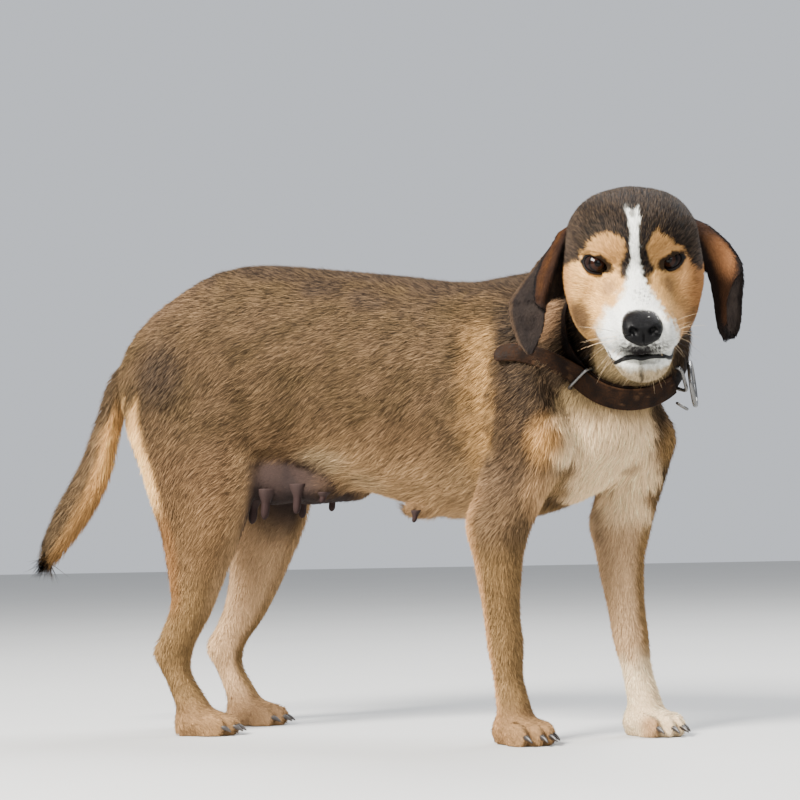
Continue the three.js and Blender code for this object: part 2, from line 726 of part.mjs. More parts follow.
function torus(centre, axis, radius, bar, steps, sides) {
  const n = unit(axis);
  const x = unit(cross(n, [0.3, 0.2, 0.9]));
  const matrix = placed(centre, [x, cross(n, x), n]);
  return fromGeometry(new THREE.TorusGeometry(radius, bar, sides, steps), matrix);
}

const bandSolid = band(0);
const keeper = hoop(KEEPER_AT, STRAP_WIDTH / 2 + 2.6, -4.6, 10, 1.3);
const keeperSlot = hoop(KEEPER_AT, STRAP_WIDTH / 2 + 2.6, -4.6, 10, 1.3 + GAP);
const buckle = hoop(BUCKLE_AT, STRAP_WIDTH / 2 + 3.4, -5.2, 10.4, 1.8);
const buckleSlot = hoop(BUCKLE_AT, STRAP_WIDTH / 2 + 3.4, -5.2, 10.4, 1.8 + GAP);
const BIG_RING = { centre: [331, -47, 330], axis: [0.93, 0.30, 0.1], radius: 20, bar: 2.3 };
const SMALL_RING = { centre: [326, -62, 309], axis: [0.5, 0.2, 0.84], radius: 5.5, bar: 1.3 };
const ringOf = (r, grow) => torus(r.centre, r.axis, r.radius, r.bar + grow, 18, 5);
const bigRing = ringOf(BIG_RING, 0);
const bigSlot = ringOf(BIG_RING, GAP);
const smallRing = torus(SMALL_RING.centre, SMALL_RING.axis, SMALL_RING.radius, SMALL_RING.bar, 12, 4);
const metalSlots = keeperSlot.add(buckleSlot).add(bigSlot);
const tongueSolid = largest(tongue(0).subtract(metalSlots));
const bandCut = band(GAP).add(tongue(GAP)).add(metalSlots);

// ------------------------------------------------------------------- the pieces
const neckHead = blocks([HEAD_BLOCK], GAP).add(block(NECK_BLOCK, GAP));
const legBlocks = blocks(Object.values(LEGS).flat(), GAP);
const tailClip = block({ lo: [-450, -140, 100], hi: [-288, 60, 420] });
const tailCut = block(TAIL_BLOCK, GAP).intersect(tailClip);


// teats, each a short blunt cone hanging from the udder: x, y, height of the tip
const TEATS = [
  [-132, -44, 222, 4.6], [-112, -40, 224, 4.6], [-146, -30, 226, 4.2], [-92, -40, 226, 4.2],
  [-128, 40, 224, 4.6], [-100, 40, 226, 4.2], [-72, -36, 229, 3.8], [36, -42, 209, 3.4],
];
const teats = TEATS.map(([x, y, tip, r]) => {
  let base = tip;
  while (flesh([x, y, base]) > -6 && base < tip + 45) base += 1;
  const tall = base - tip;
  const teat = new THREE.CylinderGeometry(r * 1.5, r * 0.8, tall, 7);
  const turn = placed([x, y, tip + tall / 2], [[1, 0, 0], [0, 0, 1], [0, -1, 0]]);
  return fromGeometry(teat, turn);
}).reduce((a, b) => a.add(b));
const trunk = sound((phase) => surface([-330, -165, 150], [345, 130, 530], TRUNK_FACET, 0, phase)
  .subtract(neckHead)
  .subtract(legBlocks)
  .subtract(tailCut)
  .subtract(bandCut)
  .add(teats));
keep('trunk', trunk, COLOURS.coat);

const neck = sound((phase) => surface([170, -200, 250], [400, 90, 540], NECK_FACET, 0, phase)
  .intersect(block(NECK_BLOCK))
  .subtract(block(HEAD_BLOCK, GAP))
  .subtract(bandCut));
keep('neck', neck, COLOURS.coat);

const eyeAt = (s) => head(-1, s * EYE_SPACING / 2, 0);
const eyeAxes = (s) => {
  const look = unit(add(mul(noseward, 0.93), add(mul(headLeft, s * 0.3), mul(headUp, 0.2))));
  const side = unit(cross(headUp, look));
  return [look, side, cross(look, side)];
};
const sockets = [1, -1].map((s) => {
  const socket = new THREE.SphereGeometry(1, 12, 8);
  socket.scale(...EYE_SOCKET);
  return fromGeometry(socket, placed(eyeAt(s), eyeAxes(s)));
}).reduce((a, b) => a.add(b));
const skull = sound((phase) => surface([225, -290, 270], [430, 10, 540], HEAD_FACET, 0, phase)
  .intersect(block(HEAD_BLOCK))
  .subtract(bandCut)
  .subtract(sockets));
keep('head', skull, COLOURS.face);
for (const s of [-1, 1]) {
  const ball = fromGeometry(new THREE.SphereGeometry(EYE_RADIUS, 12, 8), placed(eyeAt(s), eyeAxes(s)));
  keep(s < 0 ? 'eye_right' : 'eye_left', ball, COLOURS.eye, 0.15);
}

const tail = sound((phase) => surface([-450, -100, 120], [-260, 20, 410], TAIL_FACET, 0, phase)
  .intersect(block(TAIL_BLOCK))
  .intersect(tailClip));
keep('tail', tail, COLOURS.coat);

for (const [name, list] of Object.entries(LEGS)) {
  const lo = LIMB_FACET.map((f, i) => Math.min(...list.map((b) => b.lo[i])) - 2.5 * f);
  const hi = LIMB_FACET.map((f, i) => Math.max(...list.map((b) => b.hi[i])) + 2.5 * f);
  const leg = sound((phase) => surface(lo, hi, LIMB_FACET, 0, phase)
    .intersect(blocks(list))
    .trimByPlane([0, 0, 1], PAW_TOP + GAP / 2)
    .subtract(neckHead)
    .subtract(bandCut)
    .subtract(tailCut));
  keep(name, leg, COLOURS.pale);
}

function claw(p, t, grow) {
  const start = pawPoint(p, t.f + 12, t.l, 9);
  const rings = [0, 0.5, 1].map((k) => {
    const centre = add(start, add(mul(p.ahead, CLAW_LENGTH * k), [0, 0, -4.5 * k * k]));
    const r = CLAW_RADIUS * (1 - 0.72 * k * k) + grow;
    return Array.from({ length: 4 }, (_, j) => {
      const a = (2 * Math.PI * j) / 4;
      return add(centre, add(mul(p.left, Math.cos(a) * r), [0, 0, Math.sin(a) * r * 1.2]));
    });
  });
  return skinned(rings);
}
for (const p of PAWS) {
  const lo = sub(p.c, [64, 52, 26]);
  const hi = add(p.c, [84, 52, 60]);
  const beds = toePlaces(p).map((t) => claw(p, t, GAP)).reduce((a, b) => a.add(b));
  const paw = sound((phase) => surface(lo, hi, PAW_FACET, 0, phase)
    .intersect(block(pawBlock(p)))
    .trimByPlane([0, 0, -1], -PAW_TOP + GAP / 2)
    .subtract(beds));
  keep(p.name, paw, COLOURS.pale);
  toePlaces(p).forEach((t, i) => {
    keep(`${p.name.replace('paw', 'claw')}_${i + 1}`, claw(p, t, 0), COLOURS.claw, 0.4);
  });
}

// -------------------------------------------------------------------------- ears
// rows: how far down the ear, guide edge x y z, heading of the sheet from it, its
// width, width of the lapel turned out at the guide edge, rim turned in at the other
const EARS = [
  {
    name: 'ear_right',
    turn: 1,
    cup: 0.10,
    rows: [
      [0, 268, -140, 480, 112, 30, 4, 0], [0.12, 257, -150, 468, 128, 36, 14, 0],
      [0.27, 250, -157, 446, 142, 40, 18, 0], [0.42, 246, -163, 428, 152, 42, 17, 0],
      [0.56, 240, -167, 409, 160, 44, 8, 0], [0.68, 238, -168, 394, 162, 40, 1, 0],
      [0.8, 236, -169, 380, 164, 32, 0, 0], [0.92, 231, -171, 367, 166, 18, 0, 0],
      [1, 227, -172, 359, 167, 5, 0, 0],
    ],
  },
  {
    name: 'ear_left',
    turn: -1,
    cup: 0.12,
    rows: [
      [0, 341, -96, 484, 100, 32, 0, 0], [0.12, 347, -92, 472, 72, 36, 0, 0],
      [0.27, 356, -90, 450, 38, 34, 0, 0], [0.42, 362, -88, 431, 14, 31, 0, 1],
      [0.56, 367, -87, 412, 2, 26, 0, 4], [0.68, 369, -86, 396, 0, 21, 0, 8],
      [0.8, 370, -86, 382, 0, 18, 0, 8], [0.92, 372, -85, 370, 2, 13, 0, 5],
      [1, 376, -84, 362, 4, 5, 0, 1],
    ],
  },
];

// the middle surface of an ear: for each height, a path that turns out the lapel,
// crosses the sheet with a slight cup, and turns over the far rim
function earSheet(ear, rowsDown, lapelPoints, foldPoints, sheetPoints) {
  const columns = ear.rows[0].slice(1).map((_, c) => ear.rows.map((r) => [r[0], r[c + 1]]));
  const sheet = [];
  for (let i = 0; i < rowsDown; i += 1) {
    const t = i / (rowsDown - 1);
    const [x, y, z, heading, wide, lapelRaw, rimRaw] = columns.map((c) => interpolate(c, t));
    const lapel = Math.max(1.5, lapelRaw);
    const rim = Math.max(1.5, rimRaw);
    const bend1 = rad(168) * (0.05 + 0.95 * ease(lapelRaw / 6));
    const bend2 = rad(168) * (0.05 + 0.95 * ease(rimRaw / 5));
    const runs = [
      { length: lapel, steps: ear.turn > 0 ? lapelPoints : 1, turn: 0 },
      { length: EAR_FOLD_RADIUS * bend1, steps: ear.turn > 0 ? foldPoints : 1, turn: bend1 },
      { length: Math.max(4, wide), steps: sheetPoints, turn: 2 * ear.cup },
      { length: EAR_FOLD_RADIUS * bend2, steps: ear.turn < 0 ? foldPoints : 1, turn: bend2 },
      { length: rim, steps: ear.turn < 0 ? lapelPoints : 1, turn: 0 },
    ];
    let angle = -bend1 - ear.cup;
    let px = 0;
    let py = 0;
    const path = [[0, 0]];
    let guide = 0;
    runs.forEach((run, index) => {
      for (let s = 0; s < run.steps; s += 1) {
        const half = run.turn / run.steps / 2;
        angle += half;
        const a = rad(heading) + ear.turn * angle;
        px += (Math.cos(a) * run.length) / run.steps;
        py += (Math.sin(a) * run.length) / run.steps;
        angle += half;
        path.push([px, py]);
        if (index === 1 && s + 1 === Math.ceil(run.steps / 2)) guide = path.length - 1;
      }
    });
    const [gx, gy] = path[guide];
    sheet.push(path.map(([qx, qy]) => [x + qx - gx, y + qy - gy, z]));
  }
  return sheet;
}

function earSolid(ear) {
  const sheet = earSheet(ear, 9, 1, 3, 3);
  const nu = sheet.length;
  const nv = sheet[0].length;
  const side = (sign) => sheet.map((row, i) => row.map((p, j) => {
    const down = sub(sheet[Math.min(nu - 1, i + 1)][j], sheet[Math.max(0, i - 1)][j]);
    const along = sub(row[Math.min(nv - 1, j + 1)], row[Math.max(0, j - 1)]);
    const normal = unit(cross(down, along));
    const edge = Math.min(j, nv - 1 - j, nu - 1 - i);
    const thick = edge === 0 ? EAR_RIM : EAR_THICKNESS;
    return add(p, mul(normal, (sign * thick) / 2));
  }));
  const front = side(1);
  const back = side(-1).map((row) => [...row].reverse());
  return skinned(front.map((row, i) => [...row, ...back[i]]));
}
for (const ear of EARS) {
  const bed = (phase) => surface([190, -250, 300], [430, 30, 520], HEAD_FACET, 0.8, phase);
  const solid = sound((phase) => earSolid(ear).subtract(bed(phase)).subtract(bandCut));
  keep(ear.name, solid, COLOURS.ear, 0.7);
}

keep('collar_band', largest(bandSolid.subtract(metalSlots)), COLOURS.leather, 0.6);
keep('collar_tongue', tongueSolid, COLOURS.leather, 0.6);
keep('collar_keeper', keeper, COLOURS.steel, 0.3, 1);
keep('collar_buckle', buckle, COLOURS.steel, 0.3, 1);
keep('collar_ring', bigRing, COLOURS.steel, 0.3, 1);
keep('collar_small_ring', smallRing, COLOURS.steel, 0.3, 1);

// ------------------------------------------------------- centred and handed over
const corners = pieces.map((p) => p.solid.boundingBox());
const low = [0, 1, 2].map((i) => Math.min(...corners.map((b) => b.min[i])));
const high = [0, 1, 2].map((i) => Math.max(...corners.map((b) => b.max[i])));
const shift = [-(low[0] + high[0]) / 2, -(low[1] + high[1]) / 2, -low[2]];

const group = new THREE.Group();
for (const { name, solid, colour, rough, metal } of pieces) {
  const mesh = solid.translate(shift).getMesh();
  const g = new THREE.BufferGeometry();
  g.setAttribute('position', new THREE.BufferAttribute(new Float32Array(mesh.vertProperties), 3));
  g.setIndex(new THREE.BufferAttribute(new Uint32Array(mesh.triVerts), 1));
  g.computeVertexNormals();
  const material = new THREE.MeshStandardMaterial({ color: colour, roughness: rough, metalness: metal });
  const node = new THREE.Mesh(g, material);
  node.name = name;
  group.add(node);
}

export default group;
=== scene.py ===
import bpy
import numpy as np
from mathutils import Matrix, Vector


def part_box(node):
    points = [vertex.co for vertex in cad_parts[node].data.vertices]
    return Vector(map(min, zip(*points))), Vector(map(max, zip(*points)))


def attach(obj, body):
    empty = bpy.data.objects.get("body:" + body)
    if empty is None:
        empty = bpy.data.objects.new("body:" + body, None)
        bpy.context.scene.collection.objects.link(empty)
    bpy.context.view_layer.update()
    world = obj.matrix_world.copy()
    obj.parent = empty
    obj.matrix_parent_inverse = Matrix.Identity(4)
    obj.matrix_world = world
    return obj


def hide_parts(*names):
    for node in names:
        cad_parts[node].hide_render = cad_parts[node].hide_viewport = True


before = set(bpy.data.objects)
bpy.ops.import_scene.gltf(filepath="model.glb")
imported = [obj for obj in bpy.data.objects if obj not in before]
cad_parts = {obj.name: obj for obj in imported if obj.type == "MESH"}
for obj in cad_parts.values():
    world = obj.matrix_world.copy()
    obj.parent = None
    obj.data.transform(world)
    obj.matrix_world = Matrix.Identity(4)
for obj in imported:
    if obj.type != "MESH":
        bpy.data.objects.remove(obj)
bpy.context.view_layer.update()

rad = np.radians

# ---------------------------------------------------------------- named sizes, mm
WITHERS = (140, -18)
SPINE_BEND = np.array([[-470, -14], [-340, -12], [-250, -9], [-160, -3],
                       [-75, 6], [0, 17], [60, 23], [140, 23]], float)
EYES_MIDDLE = np.array([322.0, -152, 435])
HEAD_TURN, HEAD_DROP, HEAD_TILT = 62, 25, 1.4
EYE_SPACING, EYE_RADIUS = 69, 11
EYE_SHIFT = {-1: -0.8, 1: -4.0}       # right and left eye, along the head's left
STRAP_WIDTH, STRAP_THICKNESS = 24, 4
COLLAR_CENTRE = np.array([276.0, -52, 364])
COLLAR_TURN, COLLAR_LEAN, COLLAR_CONE, COLLAR_MAX_RADIUS = 50, 24, 38, 80
HALF_STRAP = STRAP_WIDTH / 2
TONGUE_WIDTH, TONGUE_THICKNESS = STRAP_WIDTH - 2.0, STRAP_THICKNESS - 0.6
BUCKLE_AT, KEEPER_AT = 50, -62        # degrees round the ring from the throat
STRAP_SUNK = 3.4
EAR_THICKNESS, EAR_FOLD_RADIUS = 3.2, 3.4
UDDER_TOP = (268, 288)                # the coat begins between these heights
SOCKET_RADII, SOCKET_REACH = (12.5, 13.5, 11.4), 30
SKIN_SHADE = 0.8                      # the skin's tint against the coat's over it
MAP_PATCH = 0.0015                    # half the width of a tuft's patch of the map
DARK_TIPS, PALE_TIPS, STRAYS = 0.36, 0.68, 0.05   # under, over, and the share that stands up
ROOT_SUNK, TUFT_FLOOR = 0.7, 0.2      # a tuft's root under the skin, and over the floor
FACE_CENTRE = np.array([104, 0, -34.0])   # the face's hair lies away from this place
CHEST = ((262, -45, 262), (75, 80, 85), 0.4)


# ------------------------------------------------------------------- small maths
def unit(v):
    """each row divided by its length"""
    v = np.asarray(v, float)
    return v / np.maximum(np.linalg.norm(v, axis=-1, keepdims=True), 1e-9)


def ease(x):
    """rises from 0 at x = 0 to 1 at x = 1 with level ends: 3x^2 - 2x^3"""
    x = np.clip(x, 0, 1)
    return x * x * (3 - 2 * x)


def between(x, lo, hi):
    """eased step of x from lo to hi"""
    return ease((np.asarray(x, float) - lo) / (hi - lo))


def moved(start, *steps):
    """a start value moved in turn towards each target by its share at each point"""
    value = start + 0 * steps[0][1]
    for target, share in steps:
        value = value + (target - value) * share
    return value


def dotp(a, b):
    """row by row dot product"""
    return (a * b).sum(-1)


def level(heading):
    """level direction to the left of a heading in degrees"""
    return np.array([np.sin(rad(heading)), np.cos(rad(heading)), 0.0])


def smooth_rows(rows, m=3):
    """Catmull-Rom: each span of a table of stations gets m rows on a smooth curve"""
    a = np.asarray(rows, float)
    if len(a) < 3:
        return a
    p = np.vstack([2 * a[0] - a[1], a, 2 * a[-1] - a[-2]])
    t = (np.arange(m) / m)[None, :, None]
    p0, p1, p2, p3 = (p[i:len(p) - 3 + i][:, None] for i in range(4))
    q = 0.5 * (2 * p1 + (p2 - p0) * t + (2 * p0 - 5 * p1 + 4 * p2 - p3) * t ** 2
               + (3 * p1 - p0 - 3 * p2 + p3) * t ** 3)
    return np.vstack([q.reshape(-1, a.shape[1]), a[-1]])


# --------------------------------------------------------- the spine and the head
SPINE_START = -480
SPINE_S = np.arange(SPINE_START, 151.0)
_h = rad(np.interp(SPINE_S, SPINE_BEND[:, 0], SPINE_BEND[:, 1]))
_h0 = rad(np.interp(SPINE_S - 1, SPINE_BEND[:, 0], SPINE_BEND[:, 1]))
_x = np.concatenate([[0], np.cumsum((np.cos(_h) + np.cos(_h0))[1:] / 2)])
_y = -np.concatenate([[0], np.cumsum((np.sin(_h) + np.sin(_h0))[1:] / 2)])
SPINE_X = _x - _x[-SPINE_START] + WITHERS[0]
SPINE_Y = _y - _y[-SPINE_START] + WITHERS[1]


def left_of(s):
    """level direction to the left of the spine at distance s"""
    return level(np.interp(s, SPINE_BEND[:, 0], SPINE_BEND[:, 1]))


def forward_of(s):
    """level direction along the spine, towards the head"""
    l = left_of(s)
    return np.array([l[1], -l[0], 0.0])


def at(s, left, z):
    """a point a distance along the spine, so far to its left, at a height"""
    i = int(round(s)) - SPINE_START
    return np.array([SPINE_X[i], SPINE_Y[i], z]) + left_of(s) * left


HEAD_LEVEL = level(HEAD_TURN)
_ahead = np.array([HEAD_LEVEL[1], -HEAD_LEVEL[0], 0.0])
NOSEWARD = _ahead * np.cos(rad(HEAD_DROP)) + np.array([0, 0, -np.sin(rad(HEAD_DROP))])
_upright = _ahead * np.sin(rad(HEAD_DROP)) + np.array([0, 0, np.cos(rad(HEAD_DROP))])
HEAD_LEFT = HEAD_LEVEL * np.cos(rad(HEAD_TILT)) + _upright * np.sin(rad(HEAD_TILT))
HEAD_UP = np.cross(NOSEWARD, HEAD_LEFT)
HEAD_AXES = np.array([NOSEWARD, HEAD_LEFT, HEAD_UP])


def head(f, l, u):
    """points so far towards the nose, to the left and up from midway between the eyes"""
    f, l, u = np.broadcast_arrays(*(np.asarray(v, float) for v in (f, l, u)))
    return EYES_MIDDLE + np.stack([f, l, u], -1) @ HEAD_AXES


def in_head(p):
    """the same three distances for points"""
    return (p - EYES_MIDDLE) @ HEAD_AXES.T


# ------------------------------------------------- rounded forms and their blend
FAR, FAR_FROM_ALL = 200, 60           # distances given where a form, or every form, is far
NEAR_SPAN, NEAR_FORM = 45, 30.0       # how close a span, or a form, has to be to count


class Tube:
    """Ellipses carried along a smooth path. With u, v, w the offsets to the side, over
    and past the end, and a, b, e the half sizes, k0 = |(u/a, v/b, w/e)| and
    k1 = |(u/a2, v/b2, w/e2)|, the distance is k0 (k0 - 1) / k1, the least over the spans."""

    def __init__(self, rows, blend, ends=1.0):
        r = smooth_rows(rows)
        self.c, self.s = r[:, :3], unit(r[:, 3:6])
        self.a = np.maximum(r[:, 6:9], 1.0)
        self.blend, self.ends = blend, ends
        reach = self.a.max(1)[:, None] * max(1, ends)
        self.lo, self.hi = (self.c - reach).min(0), (self.c + reach).max(0)

    def distance(self, p):
        best = np.full(len(p), FAR, np.float32)
        for i in range(len(self.c) - 1):
            span = self.c[i + 1] - self.c[i]
            size = np.linalg.norm(span)
            along = (span / size).astype(np.float32)
            q = p - self.c[i].astype(np.float32)
            t = np.clip(q @ along / size, 0, 1).astype(np.float32)
            off = q - t[:, None] * (along * np.float32(size))
            reach = max(self.a[i].max(), self.a[i + 1].max()) + NEAR_SPAN
            near = np.nonzero(dotp(off, off) < reach ** 2)[0]
            if not len(near):
                continue
            off, t = off[near], t[near]
            side = self.s[i] * (1 - t)[:, None] + self.s[i + 1] * t[:, None]
            side = side.astype(np.float32)
            side -= (side @ along)[:, None] * along
            side /= np.linalg.norm(side, axis=1, keepdims=True)
            over = np.cross(along[None], side)
            v = dotp(off, over)
            a, up, down = ((self.a[i, k] * (1 - t) + self.a[i + 1, k] * t) for k in range(3))
            b = np.where(v > 0, up, down)
            e = np.minimum(a, b) * self.ends
            u, w = dotp(off, side), off @ along
            k0 = np.sqrt((u / a) ** 2 + (v / b) ** 2 + (w / e) ** 2)
            k1 = np.sqrt((u / a ** 2) ** 2 + (v / b ** 2) ** 2 + (w / e ** 2) ** 2)
            d = np.where(k0 < 1e-3, -np.minimum(a, b), k0 * (k0 - 1) / np.maximum(k1, 1e-9))
            best[near] = np.minimum(best[near], d)
        return best


class Lump:
    """An ellipsoid with the same distance rule."""

    def __init__(self, c, r, blend, axes=np.eye(3)):
        self.c, self.r = np.asarray(c, float), np.asarray(r, float)
        self.axes, self.blend = axes, blend
        self.lo, self.hi = self.c - self.r.max(), self.c + self.r.max()

    def distance(self, p):
        q = (p - self.c.astype(np.float32)) @ self.axes.T.astype(np.float32)
        k0 = np.linalg.norm(q / self.r, axis=1)
        k1 = np.linalg.norm(q / self.r ** 2, axis=1)
        return np.where(k0 < 1e-3, -self.r.min(), k0 * (k0 - 1) / np.maximum(k1, 1e-9))


FORMS = []


def tube(stations, blend, ends=1.0):
    """adds a tube; a station is centre, side, half width, half size up, half size down"""
    rows = [[*c, *s, *half] for c, s, half in stations]
    FORMS.append(Tube(rows, blend, ends))


def smooth_min(a, b, k):
    """the lesser of two distances, rounded over where they differ by less than k"""
    h = np.clip(0.5 + 0.5 * (b - a) / k, 0, 1)
    return b + (a - b) * h - k * h * (1 - h)


def flesh(p):
    """distance to the outside of the coat: the forms' distances joined in turn"""
    p = np.asarray(p, np.float32)
    out = np.full(len(p), FAR_FROM_ALL, np.float32)
    for f in FORMS:
        m = NEAR_FORM + f.blend
        near = np.nonzero(np.all((p >= f.lo - m) & (p <= f.hi + m), axis=1))[0]
        if len(near):
            out[near] = smooth_min(out[near], f.distance(p[near]), f.blend)
    return out


# ------------------------------------------------------------ body of the hound
TRUNK = [
    (-428, 22, 378, 330), (-412, 42, 404, 310), (-380, 58, 440, 295), (-345, 64, 462, 285),
    (-305, 68, 478, 277), (-233, 70, 471, 264), (-150, 80, 459, 238), (-95, 84, 449, 222),
    (-40, 84, 444, 213), (15, 76, 440, 210), (65, 66, 420, 228), (100, 52, 384, 258)]
tube([(at(s, max(0, s) * 0.12, (top + low) / 2), left_of(s),
       (half, (top - low) / 2, (top - low) / 2)) for s, half, top, low in TRUNK], 10, 0.8)
tube([(at(60, 8, 285), left_of(60), (56, 52, 52)),
      (at(95, 12, 292), left_of(95), (44, 44, 44)),
      (at(114, 14, 302), left_of(100), (32, 38, 34))], 20, 0.8)
tube([
    (at(-10, 0, 374), left_of(0), (58, 64, 70)), ((190, -28, 378), level(24), (60, 71, 74)),
    ((234, -32, 376), level(34), (59, 71, 71)), ((266, -46, 378), level(50), (56, 65, 64)),
    ((284, -74, 396), level(60), (52, 58, 60)), ((296, -104, 424), HEAD_LEVEL, (50, 52, 54))],
    22, 0.6)
FORE_AHEAD, FORE_LEFT = forward_of(60), left_of(60)
HIND_AHEAD, HIND_LEFT = forward_of(-380), left_of(-380)
for side, on, out in ((-1, 0, 56), (1, 10, 54)):
    tube([(at(10 + on, side * 42, 410), FORE_AHEAD, (34, 22, 22)),
          (at(45 + on, side * 54, 350), FORE_AHEAD, (44, 29, 29)),
          (at(78 + on * 1.7, side * out, 289), FORE_AHEAD, (38, 30, 30))], 20)


def limb(ahead, rows, blend):
    """a limb from rows of x, y, height, half size fore and aft, half size across"""
    tube([((x, y, z), ahead, (a, b, b)) for x, y, z, a, b in rows], blend)


limb(FORE_AHEAD, [(196, -92, 282, 36, 28), (163, -90, 236, 40, 27), (144, -86, 200, 33, 25)], 20)
limb(FORE_AHEAD, [(258, 12, 285, 34, 28), (235, 24, 238, 36, 27), (221, 28, 200, 32, 25)], 20)
limb(FORE_AHEAD, [
    (146, -86, 205, 31, 25), (145, -84, 169, 26, 22), (146, -82, 123, 19, 18),
    (149, -82, 92, 19, 18), (152, -84, 62, 15, 15.5), (160, -90, 32, 16, 17)], 12)
limb(FORE_AHEAD, [
    (223, 28, 205, 30, 25), (222, 28, 169, 26, 22), (226, 28, 125, 20, 18.5),
    (230, 28, 94, 19, 18), (236, 27, 62, 15.5, 15.5), (244, 24, 32, 16, 17)], 12)
limb(HIND_AHEAD, [
    (-226, -52, 388, 50, 26), (-208, -64, 338, 72, 30), (-196, -70, 274, 61, 28),
    (-192, -71, 240, 55, 26), (-193, -71, 210, 45, 24), (-200, -68, 174, 34, 21),
    (-209, -66, 131, 22, 18), (-224, -65, 104, 19, 16), (-234, -64, 84, 20, 15)], 22)
limb(HIND_AHEAD, [
    (-236, 16, 388, 48, 26), (-216, 40, 338, 70, 30), (-201, 56, 274, 60, 28),
    (-199, 62, 235, 54, 26), (-203, 64, 201, 42, 24), (-208, 64, 170, 32, 21),
    (-225, 64, 125, 23, 18), (-241, 62, 99, 19, 16), (-250, 61, 82, 20, 15)], 22)
limb(HIND_AHEAD, [(-238, -64, 84, 17, 14), (-226, -64, 56, 14, 13), (-212, -63, 30, 15, 16)], 8)
limb(HIND_AHEAD, [(-254, 61, 82, 17, 14), (-242, 61, 55, 14, 13), (-229, 61, 30, 15, 16)], 8)

# each paw: its place on the floor, its directions and its half width
PAWS = [(np.array([160.0, -90, 0]), FORE_AHEAD, FORE_LEFT, 23),
        (np.array([244.0, 24, 0]), FORE_AHEAD, FORE_LEFT, 23),
        (np.array([-210.0, -63, 0]), HIND_AHEAD, HIND_LEFT, 21),
        (np.array([-226.0, 61, 0]), HIND_AHEAD, HIND_LEFT, 21)]
TOES = [(21 if abs(k) > 1 else 30, k * 0.5) for k in (-1.5, -0.5, 0.5, 1.5)]
for c, ahead, left, w in PAWS:
    up = np.array([0, 0, 1.0])
    tube([(c - ahead * 10 + up * 14, left, (w * .82, 15, 18)),
          (c + ahead * 6 + up * 15, left, (w * .98, 16, 19)),
          (c + ahead * 22 + up * 12, left, (w * .84, 13, 16))], 9, 0.7)
    for f, l in TOES:
        FORMS.append(Lump(c + ahead * f + left * l * w + up * 10, (16, w * .29, 13), 4,
                          np.array([ahead, left, up])))
TAIL = [(-288, -35, 378, 18, 18), (-309, -37, 361, 17, 17), (-321, -39, 333, 14, 15),
        (-331, -39, 304, 15, 18), (-342, -39, 276, 16, 20), (-354, -40, 253, 17, 21),
        (-370, -43, 229, 16, 21), (-385, -46, 208, 14, 19), (-398, -48, 188, 11, 15),
        (-404, -49, 168, 6, 9)]
tube([((x, y, z), (0, 1, 0), (a, b, b)) for x, y, z, a, b in TAIL], 10)
for x, y, z, a, b, c in [
        (-132, -26, 254, 34, 26, 24), (-122, 26, 254, 34, 28, 24), (-158, 0, 260, 34, 40, 22),
        (-84, -24, 246, 30, 22, 14), (-78, 26, 246, 30, 22, 14),
        (38, -30, 222, 22, 16, 10), (48, 26, 222, 22, 16, 10)]:
    FORMS.append(Lump((x, y, z), (a, b, c), 18))


def lump(f, l, u, radii, blend):
    """an ellipsoid of the head, in the head's own directions"""
    FORMS.append(Lump(head(f, l, u), radii, blend, HEAD_AXES))


def snout(rows, blend, ends):
    """a tube of the head from rows of nose-ward, left, up, half width, up, down"""
    tube([(head(f, l, u), HEAD_LEFT, (a, up, down)) for f, l, u, a, up, down in rows],
         blend, ends)


lump(-40, 0, 10, (60, 53, 43), 14)
for s in (1, -1):
    lump(-34, s * 25, 16, (44, 29, 31), 12)
lump(-82, 0, 4, (30, 34, 34), 16)
lump(-12, 0, 21, (26, 33, 20), 14)
for s in (1, -1):
    lump(-4, s * 27, 14, (15, 17, 10), 10)
    lump(-30, s * 42, -22, (40, 20, 34), 14)
    lump(-22, s * 34, -50, (40, 22, 30), 16)
snout([(-10, 0, -24, 38, 30, 34), (25, 0, -28, 31, 24, 34),
       (60, 0, -33, 27, 20, 26), (82, 0, -34, 24, 17, 22)], 12, 0.45)
snout([(-20, 0, -62, 37, 20, 28), (25, 0, -68, 31, 15, 23),
       (54, 0, -72, 26, 13, 20), (67, 0, -70, 21, 12, 17)], 8, 0.6)
for s in (1, -1):
    snout([(12, s * 27, -44, 15, 18, 22), (42, s * 25, -47, 13, 15, 18),
           (68, s * 17, -47, 11, 12, 13), (79, s * 9, -46, 9, 10, 10)], 9, 1)
lump(86, 0, -24, (9, 17.5, 13), 4)


# ------------------------------------------------------------ regions and depth
def regions(p):
    """How much each point belongs to the head, tail, lower legs, paws and bare belly:
    eased steps of its height and its distance from a named middle."""
    h = in_head(p)
    on_head = 1 - between(np.linalg.norm((h - (-25, 0, -22)) / (1.15, 1, 1.05), axis=1), 68, 96)
    muzzle = 1 - between(np.linalg.norm((h - (45, 0, -46)) / (1.5, 1, 1), axis=1), 44, 62)
    on_head = np.maximum(on_head, muzzle)
    on_tail = 1 - between(p[:, 2] + 0.55 * (p[:, 0] + 300), 372, 400)
    on_tail = between(-p[:, 0], 286, 318) * on_tail
    on_leg = 1 - between(p[:, 2], 150, 235)
    on_paw = 1 - between(p[:, 2], 30, 60)
    udder = ease(1.9 - np.linalg.norm((p - (-132, 0, 240)) / (57, 66, 42), axis=1))
    udder = udder * (1 - between(np.abs(p[:, 1]), 56, 72))
    return on_head, on_tail * (1 - on_head), on_leg * (1 - on_tail), on_paw, udder


